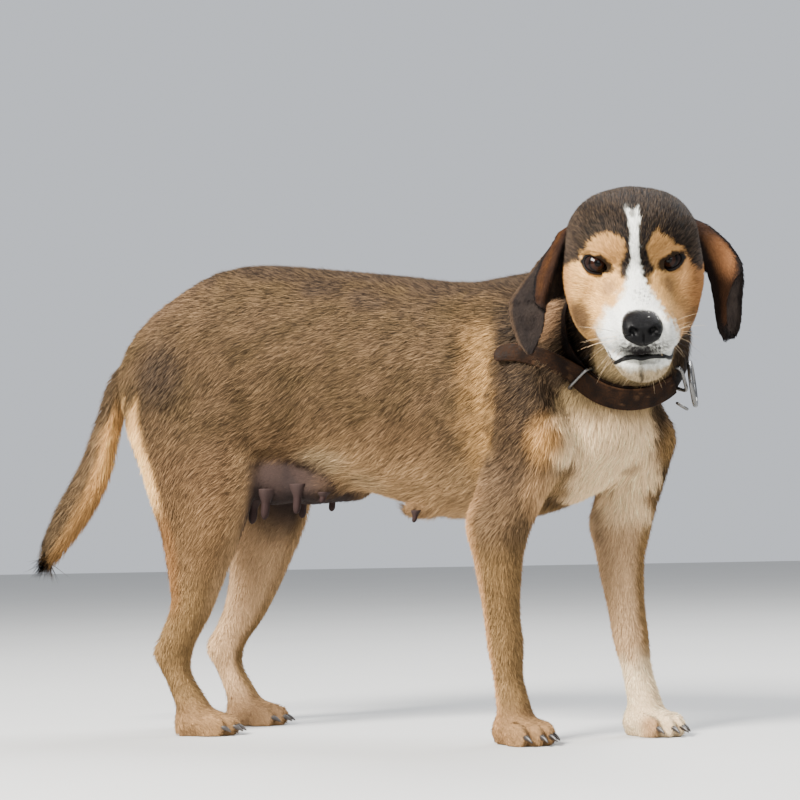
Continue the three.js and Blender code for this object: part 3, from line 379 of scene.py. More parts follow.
def coat_depth(p):
    """depth of the coat over the skin, a blend of named depths by region, none underfoot"""
    on_head, on_tail, on_leg, on_paw, udder = regions(p)
    d = moved(5.0, (3.2, on_leg), (1.8, on_paw), (1.6, on_head), (7.0, on_tail), (0.8, udder))
    near_nose = np.linalg.norm((in_head(p) - (92, -3, -24)) / (16, 18.5, 17), axis=1)
    d += 7.8 * (1 - between(near_nose, 0.75, 1.35))
    d += 2.5 * between(-p[:, 0], 392, 402) * on_tail
    return d * between(p[:, 2], 0, 6)


def eye_frame(s):
    """centre and look, side and over directions of the left (1) or right (-1) eye"""
    look = unit(NOSEWARD * 0.93 + HEAD_LEFT * (0.06 if s > 0 else -0.26) + HEAD_UP * 0.2)
    side = unit(np.cross(HEAD_UP, look))
    middle = head(-1, s * EYE_SPACING / 2 + EYE_SHIFT[s], 0)
    return middle, np.array([look, side, np.cross(look, side)])


SOCKETS = [Lump(eye_frame(s)[0], SOCKET_RADII, 1, eye_frame(s)[1]) for s in (1, -1)]


def skin_level(p, sockets=True):
    """signed distance to the skin: the flesh's, less the coat's depth, with the eye
    sockets taken away and the soles cut flat"""
    p = np.asarray(p, np.float32)
    d = flesh(p) + coat_depth(p)
    if sockets:
        for e in SOCKETS:
            near = np.nonzero(dotp(p - e.c, p - e.c) < SOCKET_REACH ** 2)[0]
            if len(near):
                d[near] = np.maximum(d[near], -e.distance(p[near]))
    return np.maximum(d, -p[:, 2])


def slope(p, value, h):
    """gradient of a field by differences to either side"""
    g = [value(p + h * e) - value(p - h * e) for e in np.eye(3)]
    return np.stack(g, -1) / (2 * h)


# ------------------------------------------------------------------ the markings
def wobble(p, size, seed=0):
    """a smooth uneven field between about -1 and 1: six sine waves in scattered
    directions whose wavelengths are near size, added together"""
    g = np.random.default_rng(900 + seed)
    k = unit(g.normal(size=(6, 3))) * (2 * np.pi / (size * g.uniform(0.6, 1.7, (6, 1))))
    return np.sin(p @ k.T + g.uniform(0, 6.28, 6)).sum(1) / 2.6


# finished values from 0 to 255, and the light that each of them stands for
SEEN = [0, 3, 9, 18, 32, 58, 86, 118, 145, 169, 188, 202, 217, 227, 237, 246]
SHONE = [0, .002, .005, .01, .02, .05, .1, .18, .3, .5, .8, 1.2, 2, 3, 5, 8]
STUDIO = 3.3                          # what a white coat gives back in the studio's light


def tone(r, g, b):
    """Paint for a tone that is to look like the values 0-255 once it is lit: the light
    that such a value stands for, over the light that white gives back. Warm bright
    tones get more green, as light that goes from hair to hair grows redder."""
    g = g + 0.22 * (r - g) * min(1, max(0, (r - 100) / 70))
    b = b + 0.06 * (r - b) * min(1, max(0, (r - 100) / 70))
    return np.minimum(np.interp([r, g, b], SEEN, SHONE) / STUDIO, 0.93)


SABLE = tone(117, 89, 57)
SABLE_PALE = tone(139, 109, 74)
SADDLE = tone(66, 52, 41)
FAWN = tone(184, 155, 113)
ORANGE = tone(196, 152, 102)
CHEEK = tone(217, 194, 151)
WHITE = tone(237, 230, 224)
CAP = tone(58, 50, 46)
UMBER = tone(44, 36, 31)
BLACK = (24, 20, 20)
TEAT = tone(66, 46, 43)
BELLY_SKIN = tone(84, 64, 60)


def lay(base, tint, amount):
    """base moved towards a tint by an amount per point"""
    return base + (tint - base) * np.clip(amount, 0, 1)[:, None]


def layered(base, *rows):
    """tones laid on in turn, each by its own amount per point"""
    for tint, amount in rows:
        base = lay(base, tone(*tint), amount)
    return base


def spot(p, centre, radii, soft):
    """1 inside an ellipsoid, easing to 0 across its edge"""
    d = np.linalg.norm((p - np.asarray(centre, float)) / radii, axis=1)
    return 1 - between(d, 1 - soft, 1 + soft)


def patches(base, p, rows):
    """rounded patches laid on in turn: tone, middle, radii, softness and amount"""
    for tint, centre, radii, soft, amount in rows:
        base = lay(base, tone(*tint), spot(p, centre, radii, soft) * amount)
    return base


BROW_TOP = ([6, 9, 13, 20, 26, 33, 40, 46, 51, 55, 60],
            [12, 20.5, 28, 30.5, 30, 26.5, 20, 11.5, 1, -6, -9])
BROW_INNER = ([-12, -4, 1, 10, 18, 25, 31], [9, 16, 16.5, 13.5, 12, 13, 16.5])
MUZZLE_WHITE = ([-46, -31, -19, -8.4, -4.5, 3, 10, 26, 40, 47],
                [34, 27, 17.5, 8.4, 6.2, 4.6, 3.9, 3.4, 4.6, 6.4])


def face_markings(p, _n):
    """Colour of the head's coat and how grizzled it is, from its three distances:
    dark cap down to curved limits over the brows and beside the blaze, blaze and
    muzzle white to a half width by height, orange edges, cream cheeks, and sides
    under the jaw painted dark as painted shade."""
    q = in_head(p)
    ragged = wobble(p, 4.2, 6)
    q = q + np.stack([0 * q[:, 0], wobble(p, 9, 1) * 0.9 + ragged * 0.7,
                      wobble(p, 11, 2) + ragged * 0.9], -1)
    f, l, u = q.T
    a = np.abs(l + 1)
    right = 1 - between(l, -3, 3)
    c = lay(CHEEK, tone(208, 178, 144), (1 - right) * between(a, 22, 44) * 0.5)
    grizzle = np.full(len(p), 0.35)
    edge = 42 + 8 * right
    c = lay(c, ORANGE, between(a, edge, edge + 11) * between(u, -100, -70) * 0.7)
    c = patches(c, q, [((142, 106, 76), (4, -51, -50), (22, 10.5, 17), 0.4, 0.9),
                       ((168, 130, 94), (-6, 44, -60), (24, 12, 20), 0.4, 0.7),
                       ((180, 148, 122), (22, -27, -15), (12, 9, 8), 0.6, 0.6),
                       ((176, 142, 112), (22, 26, -15), (12, 9, 8), 0.6, 0.6)])
    c = lay(c, tone(84, 66, 50), between(-f, 22, 40))
    # the cap, and behind the brows its lower limit on the sides of the skull
    rear = between(-f, 14, 42)
    top = np.interp(a, *BROW_TOP) - 6 * (1 - right) * between(a, 20, 30)
    top = top + (-14 - top) * rear
    cap = between(u - top, -2.2, 2.2)
    beside = np.interp(u, *BROW_INNER)
    line = (1 - between(a - beside, -4.0, 2.0)) * between(u, -14, -4)
    cap = np.maximum(cap, line * (1 - rear))
    cap_tone = layered(lay(CAP, UMBER, 0.5 + 0.5 * wobble(p, 36, 3)),
                       ((100, 84, 71), between(a, 40, 56) * 0.6),
                       ((44, 38, 36), (1 - between(a, 6, 16)) * 0.6))
    c = lay(c, cap_tone, cap)
    grizzle = grizzle + 0.65 * cap
    brow = spot(np.stack([a, u, 0 * a], -1), (27, 18, 0), (20, 17, 1), 0.3) * (1 - cap)
    c = lay(c, tone(200, 168, 118), brow * 0.85)
    # dark skin round each eye, longer towards the nose
    for s, middle in ((-1, -35.0), (1, 31.0)):
        outward = (l - middle) * s
        reach = np.where(outward < 0, 14.5, 12.5)
        ring = np.hypot(outward / reach, (u - 2.6 - 0.18 * outward) / 9.2)
        dark = (1 - between(ring, 0.86, 1.12)) * between(f, -8, 0)
        c = lay(c, tone(22, 16, 14), dark * 0.96)
    # the white of the muzzle and the narrow blaze with its forked top
    middle = np.interp(u, [-20, -5, 26, 46], [-3.2, -2.6, -2.6, -2.0])
    side = np.abs(l - middle)
    half = np.interp(u, *MUZZLE_WHITE)
    soft = np.interp(u, [-40, -8, 4], [3.4, 3.0, 1.2])
    white = (1 - between(side - half, -soft, soft)) * (1 - between(u, 43, 49))
    high, under = between(u, -20, -5), 26 * between(-u, 62, 84)
    white = white * (high + (1 - high) * between(f, 10 - under, 26 - under))
    notch = between(u, 40, 46) * (1 - between(np.abs(l + 2.2), 1, 4.0))
    white = white * (1 - notch) * between(f, -16, -7)
    c = lay(c, WHITE, white)
    grizzle = grizzle * (1 - 0.92 * white)
    # under the jaw the sides are painted dark as painted shade, and the middle is cream
    jaw = (1 - between(f, 2, 26)) * (1 - between(u, -86, -60)) * between(a, 24, 36)
    c = lay(c, tone(58, 45, 36), jaw * 0.92)
    chin = between(f, -62, -30) * (1 - between(u, -76, -70.5)) * (1 - between(a, 28, 38))
    # the dark line down the chin's cleft is painted shade in the crease
    cleft_shade = (1 - between(np.abs(l + 3), 0.3, 2.8)) * (1 - between(u, -72, -66))
    cleft_shade = cleft_shade * between(f, -10, 10)
    c = layered(c, ((204, 189, 160), chin * (1 - 0.1 * white)),
                ((168, 150, 122), chin * between(wobble(p, 7, 16), 0, 0.8) * 0.5),
                ((84, 70, 56), cleft_shade * 0.85))
    grizzle = np.maximum(grizzle, 0.5 * chin)
    # specks over the nose and on the lips
    speck = between(wobble(p, 2.6, 5), 0.45, 0.75)
    on_bridge = spot(q, (58, 0, -11), (17, 10, 9), 0.4)
    on_lip = np.maximum(spot(q, (68, -16, -56), (14, 9, 10), 0.4),
                        spot(q, (66, 13, -56), (14, 9, 10), 0.4))
    c = lay(c, tone(84, 76, 78), speck * np.maximum(on_bridge * 0.8, on_lip * 0.8))
    round_lip = spot(q, (84, -4, -52), (20, 27, 15), 0.5)
    c = lay(c, tone(90, 84, 86), between(wobble(p, 2.3, 15), -0.7, 0.2) * round_lip * 0.94)
    c = patches(c, q, [((44, 38, 40), (86, -5, -54), (16, 16, 10), 0.6, 1),
                       ((196, 192, 184), (64, -2, -72), (14, 20, 6), 0.4, 0.7)])
    return lay(c, UMBER, between(-f, 66, 100) * 0.7), grizzle


def body_markings(p, n):
    """Colour of the body's coat and how grizzled it is, from height, place along the
    body and the way the surface faces: saddle above, sable sides, fawn legs, white
    breast, cream breeches and rear edges."""
    x, y, z = p.T
    w, v = wobble(p, 60, 7), wobble(p, 24, 8)
    c = lay(SABLE, SABLE_PALE, 0.5 + 0.4 * w + 0.25 * v)
    up = between(n[:, 2] + 0.12 * w + 0.06 * v, 0.5, 0.92) * between(z, 370, 415)
    c = lay(c, SADDLE, up * 0.85)
    c = patches(c, p, [((150, 118, 88), (-250, -62, 440), (60, 40, 34), 0.6, 0.5),
                       ((84, 68, 58), (-228, -94, 364), (25, 24, 30), 0.7, 0.75)])
    # the lower flanks are painted darker, as painted shade under the body
    c = lay(c, tone(106, 84, 58), (1 - between(z, 250, 320)) * 0.7)
    # a pale band behind the shoulder, dark before it on the neck
    bend = x - 138 + 7 * np.sin(z / 31) + 6 * v + 4 * wobble(p, 10, 18)
    band = between(bend, -44, 2) * (1 - between(bend, 4, 20)) * between(z, 225, 285)
    c = lay(c, tone(204, 177, 130), band * (1 - between(z, 368, 408))
            * (0.66 + 0.25 * wobble(p, 8, 14)) * (1 - 0.4 * between(y, -10, 20)))
    edge = x - 6 * np.sin(z / 22) - 5 * v
    c = layered(c, ((106, 80, 56), between(x, 148, 170) * between(z, 235, 290) * 0.85),
                ((82, 64, 46), between(edge, 148, 178) * between(z, 288, 330) * 0.9))
    c = patches(c, p, [((52, 40, 32), (176, -104, 392), (17, 24, 22), 0.6, 0.7),
                       ((48, 36, 28), (232, -104, 306), (22, 20, 18), 0.6, 0.7),
                       ((178, 144, 112), (208, -92, 398), (14, 22, 24), 0.5, 0.8)])
    c = layered(c, ((66, 52, 42), between(x, 214, 234) * between(z, 340, 372) * 0.8),
                ((58, 46, 38), between(x, 100, 165) * between(z, 410, 436) * 0.8))
    grizzle = np.full(len(p), 1.0)
    # legs
    leg = 1 - between(z, 185, 262)
    c = lay(c, FAWN, leg * 0.9)
    grizzle = grizzle * (1 - 0.4 * leg)
    fore = between(x, 60, 100)
    upper = fore * between(x, 118, 140) * between(z, 160, 200) * (1 - between(z, 250, 290))
    c = lay(c, tone(150, 121, 92), upper * (1 - between(y, -60, -30)) * 0.7)
    low_thigh = (1 - fore) * between(z, 120, 180) * (1 - between(z, 250, 330))
    c = lay(c, tone(166, 130, 92), low_thigh * 0.7)
    behind = x - np.interp(z, [60, 130, 185, 240, 300, 341], [-240, -226, -224, -233, -247, -251])
    hock = (1 - fore) * (1 - between(behind, 6, 18)) * between(z, 110, 140)
    c = lay(c, tone(186, 142, 92), hock * (1 - between(z, 205, 240)) * 0.7)
    rear_fore = between(-n[:, 0], 0.3, 0.85) * fore * leg
    c = lay(c, tone(214, 188, 156), rear_fore * 0.8)
    haunch = between(-x, 150, 190) * (1 - between(z, 372, 396))
    strip = np.where(y < 0, 1 - between(behind + 7 * between(z, 245, 320), 2, 10), 0)
    seat = np.maximum(between(-n @ HIND_AHEAD, 0.3, 0.8), strip)
    seat = seat * haunch * between(-x, 205, 235)
    seat = seat * between(z, 215, 250) * (1 - between(z + 12 * v, 292, 346))
    c = lay(c, tone(226, 206, 174), seat * 0.9)
    grizzle = grizzle * (1 - 0.75 * seat)
    shin = between(n @ HIND_AHEAD, 0.35, 0.85) * (1 - fore) * between(-x, 120, 140)
    shin = shin * (1 - between(z, 290, 325))
    c = lay(c, tone(204, 184, 154), shin * between(z, 100, 150) * 0.65)
    inner = between(np.where(y < -15, n[:, 1], -n[:, 1]), 0.2, 0.8)
    within = np.maximum(leg, (1 - fore) * (1 - between(z, 270, 330)) * between(-x, 120, 150))
    c = lay(c, tone(214, 197, 174), inner * within * 0.85)
    grizzle = grizzle * (1 - 0.6 * inner * within)
    # the far forearm: a darker inner side, a pale front and a white sock
    far = fore * between(y, -8, 2)
    c = lay(c, tone(204, 186, 164), far * leg * between(-n[:, 1], 0.2, 0.9) * 0.5)
    c = patches(c, p, [((96, 80, 68), (208, 2, 196), (10, 14, 18), 0.7, 0.5)])
    sock = far * (1 - between(z + 4 * wobble(p, 14, 9), 64, 84))
    c = lay(c, tone(222, 212, 198), sock)
    foot = 1 - between(z, 18, 46)
    c = lay(c, tone(198, 170, 138), foot * (1 - sock) * 0.6)
    # breast
    ragged = 5 * wobble(p, 26, 11) + 2.5 * wobble(p, 6, 13)
    breast = between(x - 222 + np.clip(255 - z, 0, 45) + ragged, -9, 7)
    limit = np.interp(z, [210, 253, 290, 325], [16, 3, -20, -44])
    breast = breast * (1 - between(y - limit + ragged, -5, 7))
    breast = breast * between(z - 0.5 * ragged, 190, 218) * (1 - between(z, 326, 338))
    breast = breast * between(x, 190, 200)
    breast_tone = lay(tone(224, 212, 196), tone(190, 170, 138), between(z, 286, 316))
    c = lay(c, breast_tone, breast)
    grizzle = grizzle * (1 - 0.75 * breast)
    # the dark patch low between the forelegs, at (205, -8, 212), is painted shade under the chest
    c = patches(c, p, [((208, 186, 154), (200, -94, 228), (15, 26, 28), 0.6, 0.85),
                       ((76, 62, 52), (205, -8, 212), (13, 24, 8), 0.6, 0.7),
                       ((196, 174, 142), (206, -70, 236), (20, 30, 26), 0.5, (1 - breast) * 0.8),
                       ((216, 190, 146), (215, -122, 276), (15, 17, 22), 0.8, 0.72),
                       ((204, 180, 138), (290, 2, 272), (13, 14, 20), 0.8, 0.6)])
    whorl = np.linalg.norm((p - (257, -20, 253)) / (9, 9, 7), axis=1)
    c = lay(c, tone(176, 152, 122), np.exp(-(whorl - 1) ** 2 * 5) * 0.6)
    # belly
    under = between(-n[:, 2], 0.2, 0.8) * between(x, -84, -52) * (1 - between(x, 110, 150))
    c = lay(c, tone(206, 186, 156), under * 0.75 * between(z, 165, 200))
    rim = np.maximum(spot(p, (-62, -42, 274), (30, 20, 13), 0.6),
                     0.6 * spot(p, (-18, -34, 250), (24, 20, 14), 0.5))
    c = lay(c, tone(200, 184, 158), rim * 0.8)
    udder = regions(p)[4]
    low = udder * (1 - between(z, *UDDER_TOP))
    c = layered(lay(c, BELLY_SKIN, low * 0.95),
                ((64, 49, 46), low * (1 - between(z, 232, 262)) * 0.75),
                ((62, 49, 46), low * between(wobble(p, 20, 17), 0.1, 0.9) * 0.5))
    grizzle = grizzle * (1 - 0.8 * low)
    c = c * (1 + 0.10 * wobble(p, 22, 12) * grizzle)[:, None]
    return c, grizzle


def tail_markings(p, n):
    """Colour of the tail: sable above, cream below, darker at its root, and darkest at its tip,
    where the dark is painted shade.
    """
    z = p[:, 2]
    c = layered(tone(160, 132, 96),
                ((98, 76, 54), between(-n[:, 0] + 0.3 * n[:, 2], 0.1, 0.8) * 0.85),
                ((226, 202, 164), between(n[:, 0] - 0.2 * n[:, 2], 0.0, 0.7) * 0.85),
                ((96, 76, 54), between(z, 312, 350) * 0.75),
                ((88, 70, 46), (1 - between(z, 215, 300)) * 0.62),
                # the tail's tip is painted dark as painted shade
                ((48, 37, 24), (1 - between(z, 172, 196)) * 0.9))
    return c, np.full(len(p), 0.9)


def markings(p, n):
    """The one colour rule of skin and coat: face, body and tail markings joined where
    the regions pass into each other."""
    on_head, on_tail, _leg, _paw, _udder = regions(p)
    h = in_head(p)
    on_head = np.maximum(on_head, between(h[:, 0], -52, -30) * between(h[:, 2], -130, -112))
    c, g = body_markings(p, n)
    for rule, share in ((tail_markings, on_tail), (face_markings, on_head)):
        t = share > 0.001
        tint, grizzle = rule(p[t], n[t])
        c[t] = lay(c[t], tint, share[t])
        g[t] = g[t] + (grizzle - g[t]) * share[t]
    return np.clip(c, 0.002, 1), g


# ------------------------------------------------------------- the lie of the coat
def lie(p, n):
    """Direction the hair lies at each point: back over the face from the nose, back
    and down the neck, trunk and flanks, down the legs, forward on the feet and along
    the tail, mixed by region and turned into the surface."""
    on_head, on_tail, on_leg, on_paw, _udder = regions(p)
    x, z = p[:, 0], p[:, 2]
    s = np.interp(x, SPINE_X, SPINE_S)
    bend = rad(np.interp(s, SPINE_BEND[:, 0], SPINE_BEND[:, 1]))
    back = np.stack([-np.cos(bend), np.sin(bend), 0 * s], -1)
    down = np.array([0, 0, -1.0])
    sides = 1 - np.abs(n[:, 2])
    v = back + down * (0.25 + 0.55 * sides)[:, None]
    neck = between(x, 150, 220)
    v = v + neck[:, None] * (np.array([-0.5, 0.25, -1.1]) - v * 0.6)
    breast = spot(p, *CHEST)
    v = v + breast[:, None] * (np.array([-0.1, 0, -1.4]) - v)
    belly = between(-n[:, 2], 0.4, 0.9) * (1 - on_leg)
    v = v + belly[:, None] * (back * 1.2 - v)
    haunch = between(-x, 150, 240) * (1 - between(z, 360, 430))
    v = v + haunch[:, None] * (np.array([-0.35, 0, -1.2]) - v)
    v = v + on_leg[:, None] * (np.array([-0.12, 0, -1.2]) - v)
    ahead = np.where((x > 0)[:, None], FORE_AHEAD, HIND_AHEAD)
    v = v + on_paw[:, None] * (ahead * 0.9 + np.array([0, 0, -0.7]) - v)
    seg = smooth_rows([r[:3] for r in TAIL])
    near = np.abs(z[:, None] - seg[None, :, 2]).argmin(1)
    along = unit(np.gradient(seg, axis=0))[near]
    v = v + on_tail[:, None] * (along - v)
    h = in_head(p)
    away = h - FACE_CENTRE
    away[:, 2] += 0.35 * away[:, 2]
    face = unit(away) @ HEAD_AXES
    v = v + on_head[:, None] * (face - v)
    swirl = np.stack([wobble(p, 70, 21), wobble(p, 75, 22), wobble(p, 80, 23)], -1)
    v = unit(v) + 0.16 * swirl * (1 - 0.6 * on_head)[:, None]
    return unit(v - dotp(v, n)[:, None] * n)


# ----------------------------------------------------------- the skin's own surface
def graded(lo, hi, coarse, fine, zone):
    """stations from lo to hi, fine apart inside a zone and easing to coarse outside it"""
    out = [lo]
    while out[-1] < hi:
        away = max(zone[0] - out[-1], out[-1] - zone[1], 0)
        out.append(out[-1] + fine + (coarse - fine) * min(1, away / 25))
    return np.array(out)


def grid_levels(value, axes, coarse=4):
    """A field on a grid of stations: worked out on every fourth station first, then on
    every one in the blocks that the surface can reach."""
    shape = tuple(len(a) for a in axes)
    picks = [np.unique(np.append(np.arange(0, n, coarse), n - 1)) for n in shape]
    rough = np.stack(np.meshgrid(*(a[i] for a, i in zip(axes, picks)), indexing="ij"), -1)
    v = value(rough.reshape(-1, 3)).reshape(rough.shape[:3])
    step = max(np.diff(a).max() for a in axes) * coarse
    near = np.abs(v) < step * 1.35
    block = np.zeros(tuple(n - 1 for n in v.shape), bool)
    for corner in np.ndindex(2, 2, 2):
        block |= near[tuple(slice(c, n - 1 + c) for c, n in zip(corner, v.shape))]
    which = [np.minimum(np.arange(n) // coarse, len(i) - 2) for n, i in zip(shape, picks)]
    full = v[:-1, :-1, :-1][np.ix_(*which)].astype(np.float32)
    idx = np.nonzero(block[np.ix_(*which)])
    full[idx] = value(np.stack([a[i] for a, i in zip(axes, idx)], 1))
    return full


def surface_net(axes, v):
    """The closed surface where the field is zero: one point for each grid cell that it
    passes through, at the mean of its edge crossings, and one quad for each grid edge
    that it crosses."""
    inside = v < 0
    n = v.shape
    count = sum(inside[tuple(slice(c, m - 1 + c) for c, m in zip(corner, n))].astype(np.int8)
                for corner in np.ndindex(2, 2, 2))
    cell = np.nonzero((count > 0) & (count < 8))
    ids = np.full(count.shape, -1, np.int32)
    ids[cell] = np.arange(len(cell[0]))
    total, hit = np.zeros((len(cell[0]), 3)), np.zeros(len(cell[0]))
    for axis in range(3):
        for a, b in np.ndindex(2, 2):
            off = np.zeros(3, int)
            off[(axis + 1) % 3], off[(axis + 2) % 3] = a, b
            i0 = [c + o for c, o in zip(cell, off)]
            off[axis] = 1
            i1 = [c + o for c, o in zip(cell, off)]
            v0, v1 = v[tuple(i0)].astype(float), v[tuple(i1)].astype(float)
            cross = (v0 < 0) != (v1 < 0)
            t = np.where(cross, v0 / np.where(cross, v0 - v1, 1), 0)[:, None]
            p0 = np.stack([x[i] for x, i in zip(axes, i0)], 1)
            p1 = np.stack([x[i] for x, i in zip(axes, i1)], 1)
            total += np.where(cross[:, None], p0 + (p1 - p0) * t, 0)
            hit += cross
    quads = []
    for axis in range(3):
        near, far = [slice(1, -1)] * 3, [slice(1, -1)] * 3
        near[axis], far[axis] = slice(0, -1), slice(1, None)
        a, b = inside[tuple(near)], inside[tuple(far)]
        base = np.ones(3, int)
        base[axis] = 0
        e1, e2 = np.eye(3, dtype=int)[(axis + 1) % 3], np.eye(3, dtype=int)[(axis + 2) % 3]
        for flip, mask in ((False, a & ~b), (True, ~a & b)):
            at_edge = np.stack(np.nonzero(mask), 1) + base
            ring = [ids[tuple((at_edge - d).T)] for d in (e1 + e2, e2, 0 * e1, e1)]
            quads.append(np.stack(ring[::-1] if flip else ring, 1))
    return total / hit[:, None], np.vstack(quads)


def settle(p, value, rounds=2, most=1.2):
    """points moved along the gradient until the field there is zero"""
    k = np.array([[1, -1, -1], [-1, -1, 1], [-1, 1, -1], [1, 1, 1]], float)
    for _ in range(rounds):
        g = sum(v * value(p + 0.4 * v)[:, None] for v in k) / 1.6
        away = value(p) / np.maximum(dotp(g, g), 0.25)
        p = p - g * np.clip(away, -most, most)[:, None]
    return p


def corner_normals(p, faces):
    """unit normal at each corner: the sum of the normals of the faces round it"""
    d1, d2 = p[faces[:, 2]] - p[faces[:, 0]], p[faces[:, -1]] - p[faces[:, 1]]
    fn = np.cross(d1, d2)
    n = np.stack([np.bincount(faces.ravel(), np.repeat(fn[:, k], faces.shape[1]), len(p))
                  for k in range(3)], -1)
    return unit(n)


# ------------------------------------------------------------ into the part's frame
_lo, _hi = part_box("eye_right")
SHIFT = (np.array(_lo) + np.array(_hi)) * 500 - head(-1, -EYE_SPACING / 2, 0)


def add_piece(name, points, faces, material, slot, replaces=(), tint=None, uv=None, shade=None):
    """A piece from points in mm in the hound's own frame: moved to the part's frame, in
    metres, with faces of any mix of sizes, and a colour, a place on a named map and a
    normal of its own for each point where they are given."""
    mesh = bpy.data.meshes.new(name)
    faces = [np.asarray(f) for f in (faces if isinstance(faces, (list, tuple)) else [faces])]
    size = np.concatenate([np.full(len(f), f.shape[1]) for f in faces])
    loops = np.concatenate([f.ravel() for f in faces]).astype(np.int32)
    mesh.vertices.add(len(points))
    mesh.vertices.foreach_set("co", ((points + SHIFT) / 1000).astype(np.float32).ravel())
    mesh.loops.add(len(loops))
    mesh.loops.foreach_set("vertex_index", loops)
    mesh.polygons.add(len(size))
    starts = np.concatenate([[0], np.cumsum(size)[:-1]]).astype(np.int32)
    mesh.polygons.foreach_set("loop_start", starts)
    if tint is not None:
        layer = mesh.attributes.new("tint", "FLOAT_COLOR", "POINT")
        colours = np.c_[tint, np.ones(len(points))].astype(np.float32)
        layer.data.foreach_set("color", colours.ravel())
    if uv is not None:
        layer = mesh.uv_layers.new(name=uv[0])
        layer.data.foreach_set("uv", uv[1].astype(np.float32)[loops].ravel())
    mesh.update(calc_edges=True)
    mesh.validate(verbose=False)
    mesh.shade_smooth()
    if shade is not None:
        mesh.normals_split_custom_set_from_vertices(shade.astype(np.float32))
    mesh.materials.append(material)
    obj = bpy.data.objects.new(name, mesh)
    bpy.context.collection.objects.link(obj)
    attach(obj, "root")
    if replaces:
        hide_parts(*replaces)
    return obj


def sheet_faces(rows, cols, round_rows=False, round_cols=False):
    """quads between neighbouring points of a grid, joined end to end where asked"""
    i = np.arange(rows if round_rows else rows - 1)
    j = np.arange(cols if round_cols else cols - 1)
    i, j = np.meshgrid(i, j, indexing="ij")
    i1, j1 = (i + 1) % rows, (j + 1) % cols
    q = np.stack([i * cols + j, i * cols + j1, i1 * cols + j1, i1 * cols + j], -1)
    return q.reshape(-1, 4)


def capped(p, front, rear):
    """points and faces of a form made of rings, closed by a point at each end"""
    n, m = p.shape[:2]
    j = np.arange(m)
    j1 = (j + 1) % m
    return np.vstack([p.reshape(-1, 3), front, rear]), [
        sheet_faces(n, m, False, True)[:, ::-1],
        np.stack([np.full(m, n * m), j, j1], 1),
        np.stack([np.full(m, n * m + 1), (n - 1) * m + j1, (n - 1) * m + j], 1)]


def outward(points, faces, centre):
    """the faces, turned over if they look towards the centre"""
    f = faces[0]
    d = np.cross(points[f[:, 2]] - points[f[:, 0]], points[f[:, -1]] - points[f[:, 1]])
    if dotp(d, points[f[:, 0]] - centre).sum() < 0:
        return [g[:, ::-1] for g in faces]
    return faces


def joined(parts):
    """the points and faces of several parts as one list of each"""
    base = np.cumsum([0] + [len(p) for p, _faces in parts])
    return (np.vstack([p for p, _faces in parts]),
            [f + b for (_p, faces), b in zip(parts, base) for f in faces])


def swept(centres, side, over, outline, round_path=False):
    """A profile carried along a path: point = centre + outline x * side + outline y * over.
    The outline may change along the path. Open ends are closed by a point each."""
    outline = np.broadcast_to(outline, (len(centres),) + np.shape(outline)[-2:])
    p = centres[:, None] + outline[..., :1] * side[:, None] + outline[..., 1:] * over[:, None]
    n, m = p.shape[:2]
    if round_path:
        pts, faces = p.reshape(-1, 3), [sheet_faces(n, m, True, True)]
    else:
        pts, faces = capped(p, centres[0], centres[-1])
    return pts, outward(pts, faces, p.mean(1)[faces[0][:, 0] // m])


def ring_outline(m, a, b):
    """m points round an ellipse of half sizes a and b"""
    t = np.arange(m) * 2 * np.pi / m
    return np.stack([np.cos(t) * a, np.sin(t) * b], -1)


# --------------------------------------------------------------------- materials
def node_group(name, inputs, outputs, build):
    """a shader node group with named inputs (name, kind, value) and outputs (name, kind)"""
    g = bpy.data.node_groups.new(name, "ShaderNodeTree")
    for label, kind, value in inputs:
        sock = g.interface.new_socket(label, in_out="INPUT", socket_type=kind)
        if value is not None:
            sock.default_value = value
    for label, kind in outputs:
        g.interface.new_socket(label, in_out="OUTPUT", socket_type=kind)
    build(g, g.nodes.new("NodeGroupInput"), g.nodes.new("NodeGroupOutput"))
    return g


def wire(tree, *links):
    """links from a node's output to another's input, each by name or number"""
    for source, out, target, into in links:
        tree.links.new(source.outputs[out], target.inputs[into])


def preset(node, values):
    """values for a node's inputs by name or number"""
    for key, value in values.items():
        node.inputs[key].default_value = value


def relief_group(name, pattern, reading, scale, distance):
    """A pattern read at a scale, given as a mask and as the normal of its relief."""
    def build(g, gin, gout):
        texture, bump = g.nodes.new(pattern), g.nodes.new("ShaderNodeBump")
        if reading == "Distance":
            texture.feature, bump.invert = "SMOOTH_F1", True
        else:
            preset(texture, {"Detail": 3.0})
        wire(g, (gin, "Vector", texture, "Vector"), (gin, "Scale", texture, "Scale"),
             (texture, reading, bump, "Height"), (gin, "Strength", bump, "Strength"),
             (gin, "Distance", bump, "Distance"), (texture, reading, gout, "Mask"),
             (bump, "Normal", gout, "Normal"))

    return node_group(
        name,
        [("Vector", "NodeSocketVector", None), ("Scale", "NodeSocketFloat", scale),
         ("Strength", "NodeSocketFloat", 0.5), ("Distance", "NodeSocketFloat", distance)],
        [("Mask", "NodeSocketFloat"), ("Normal", "NodeSocketVector")], build)


GRAIN = relief_group("fine grain", "ShaderNodeTexNoise", "Fac", 300.0, 0.001)
PEBBLE = relief_group("pebbled hide", "ShaderNodeTexVoronoi", "Distance", 900.0, 0.0005)


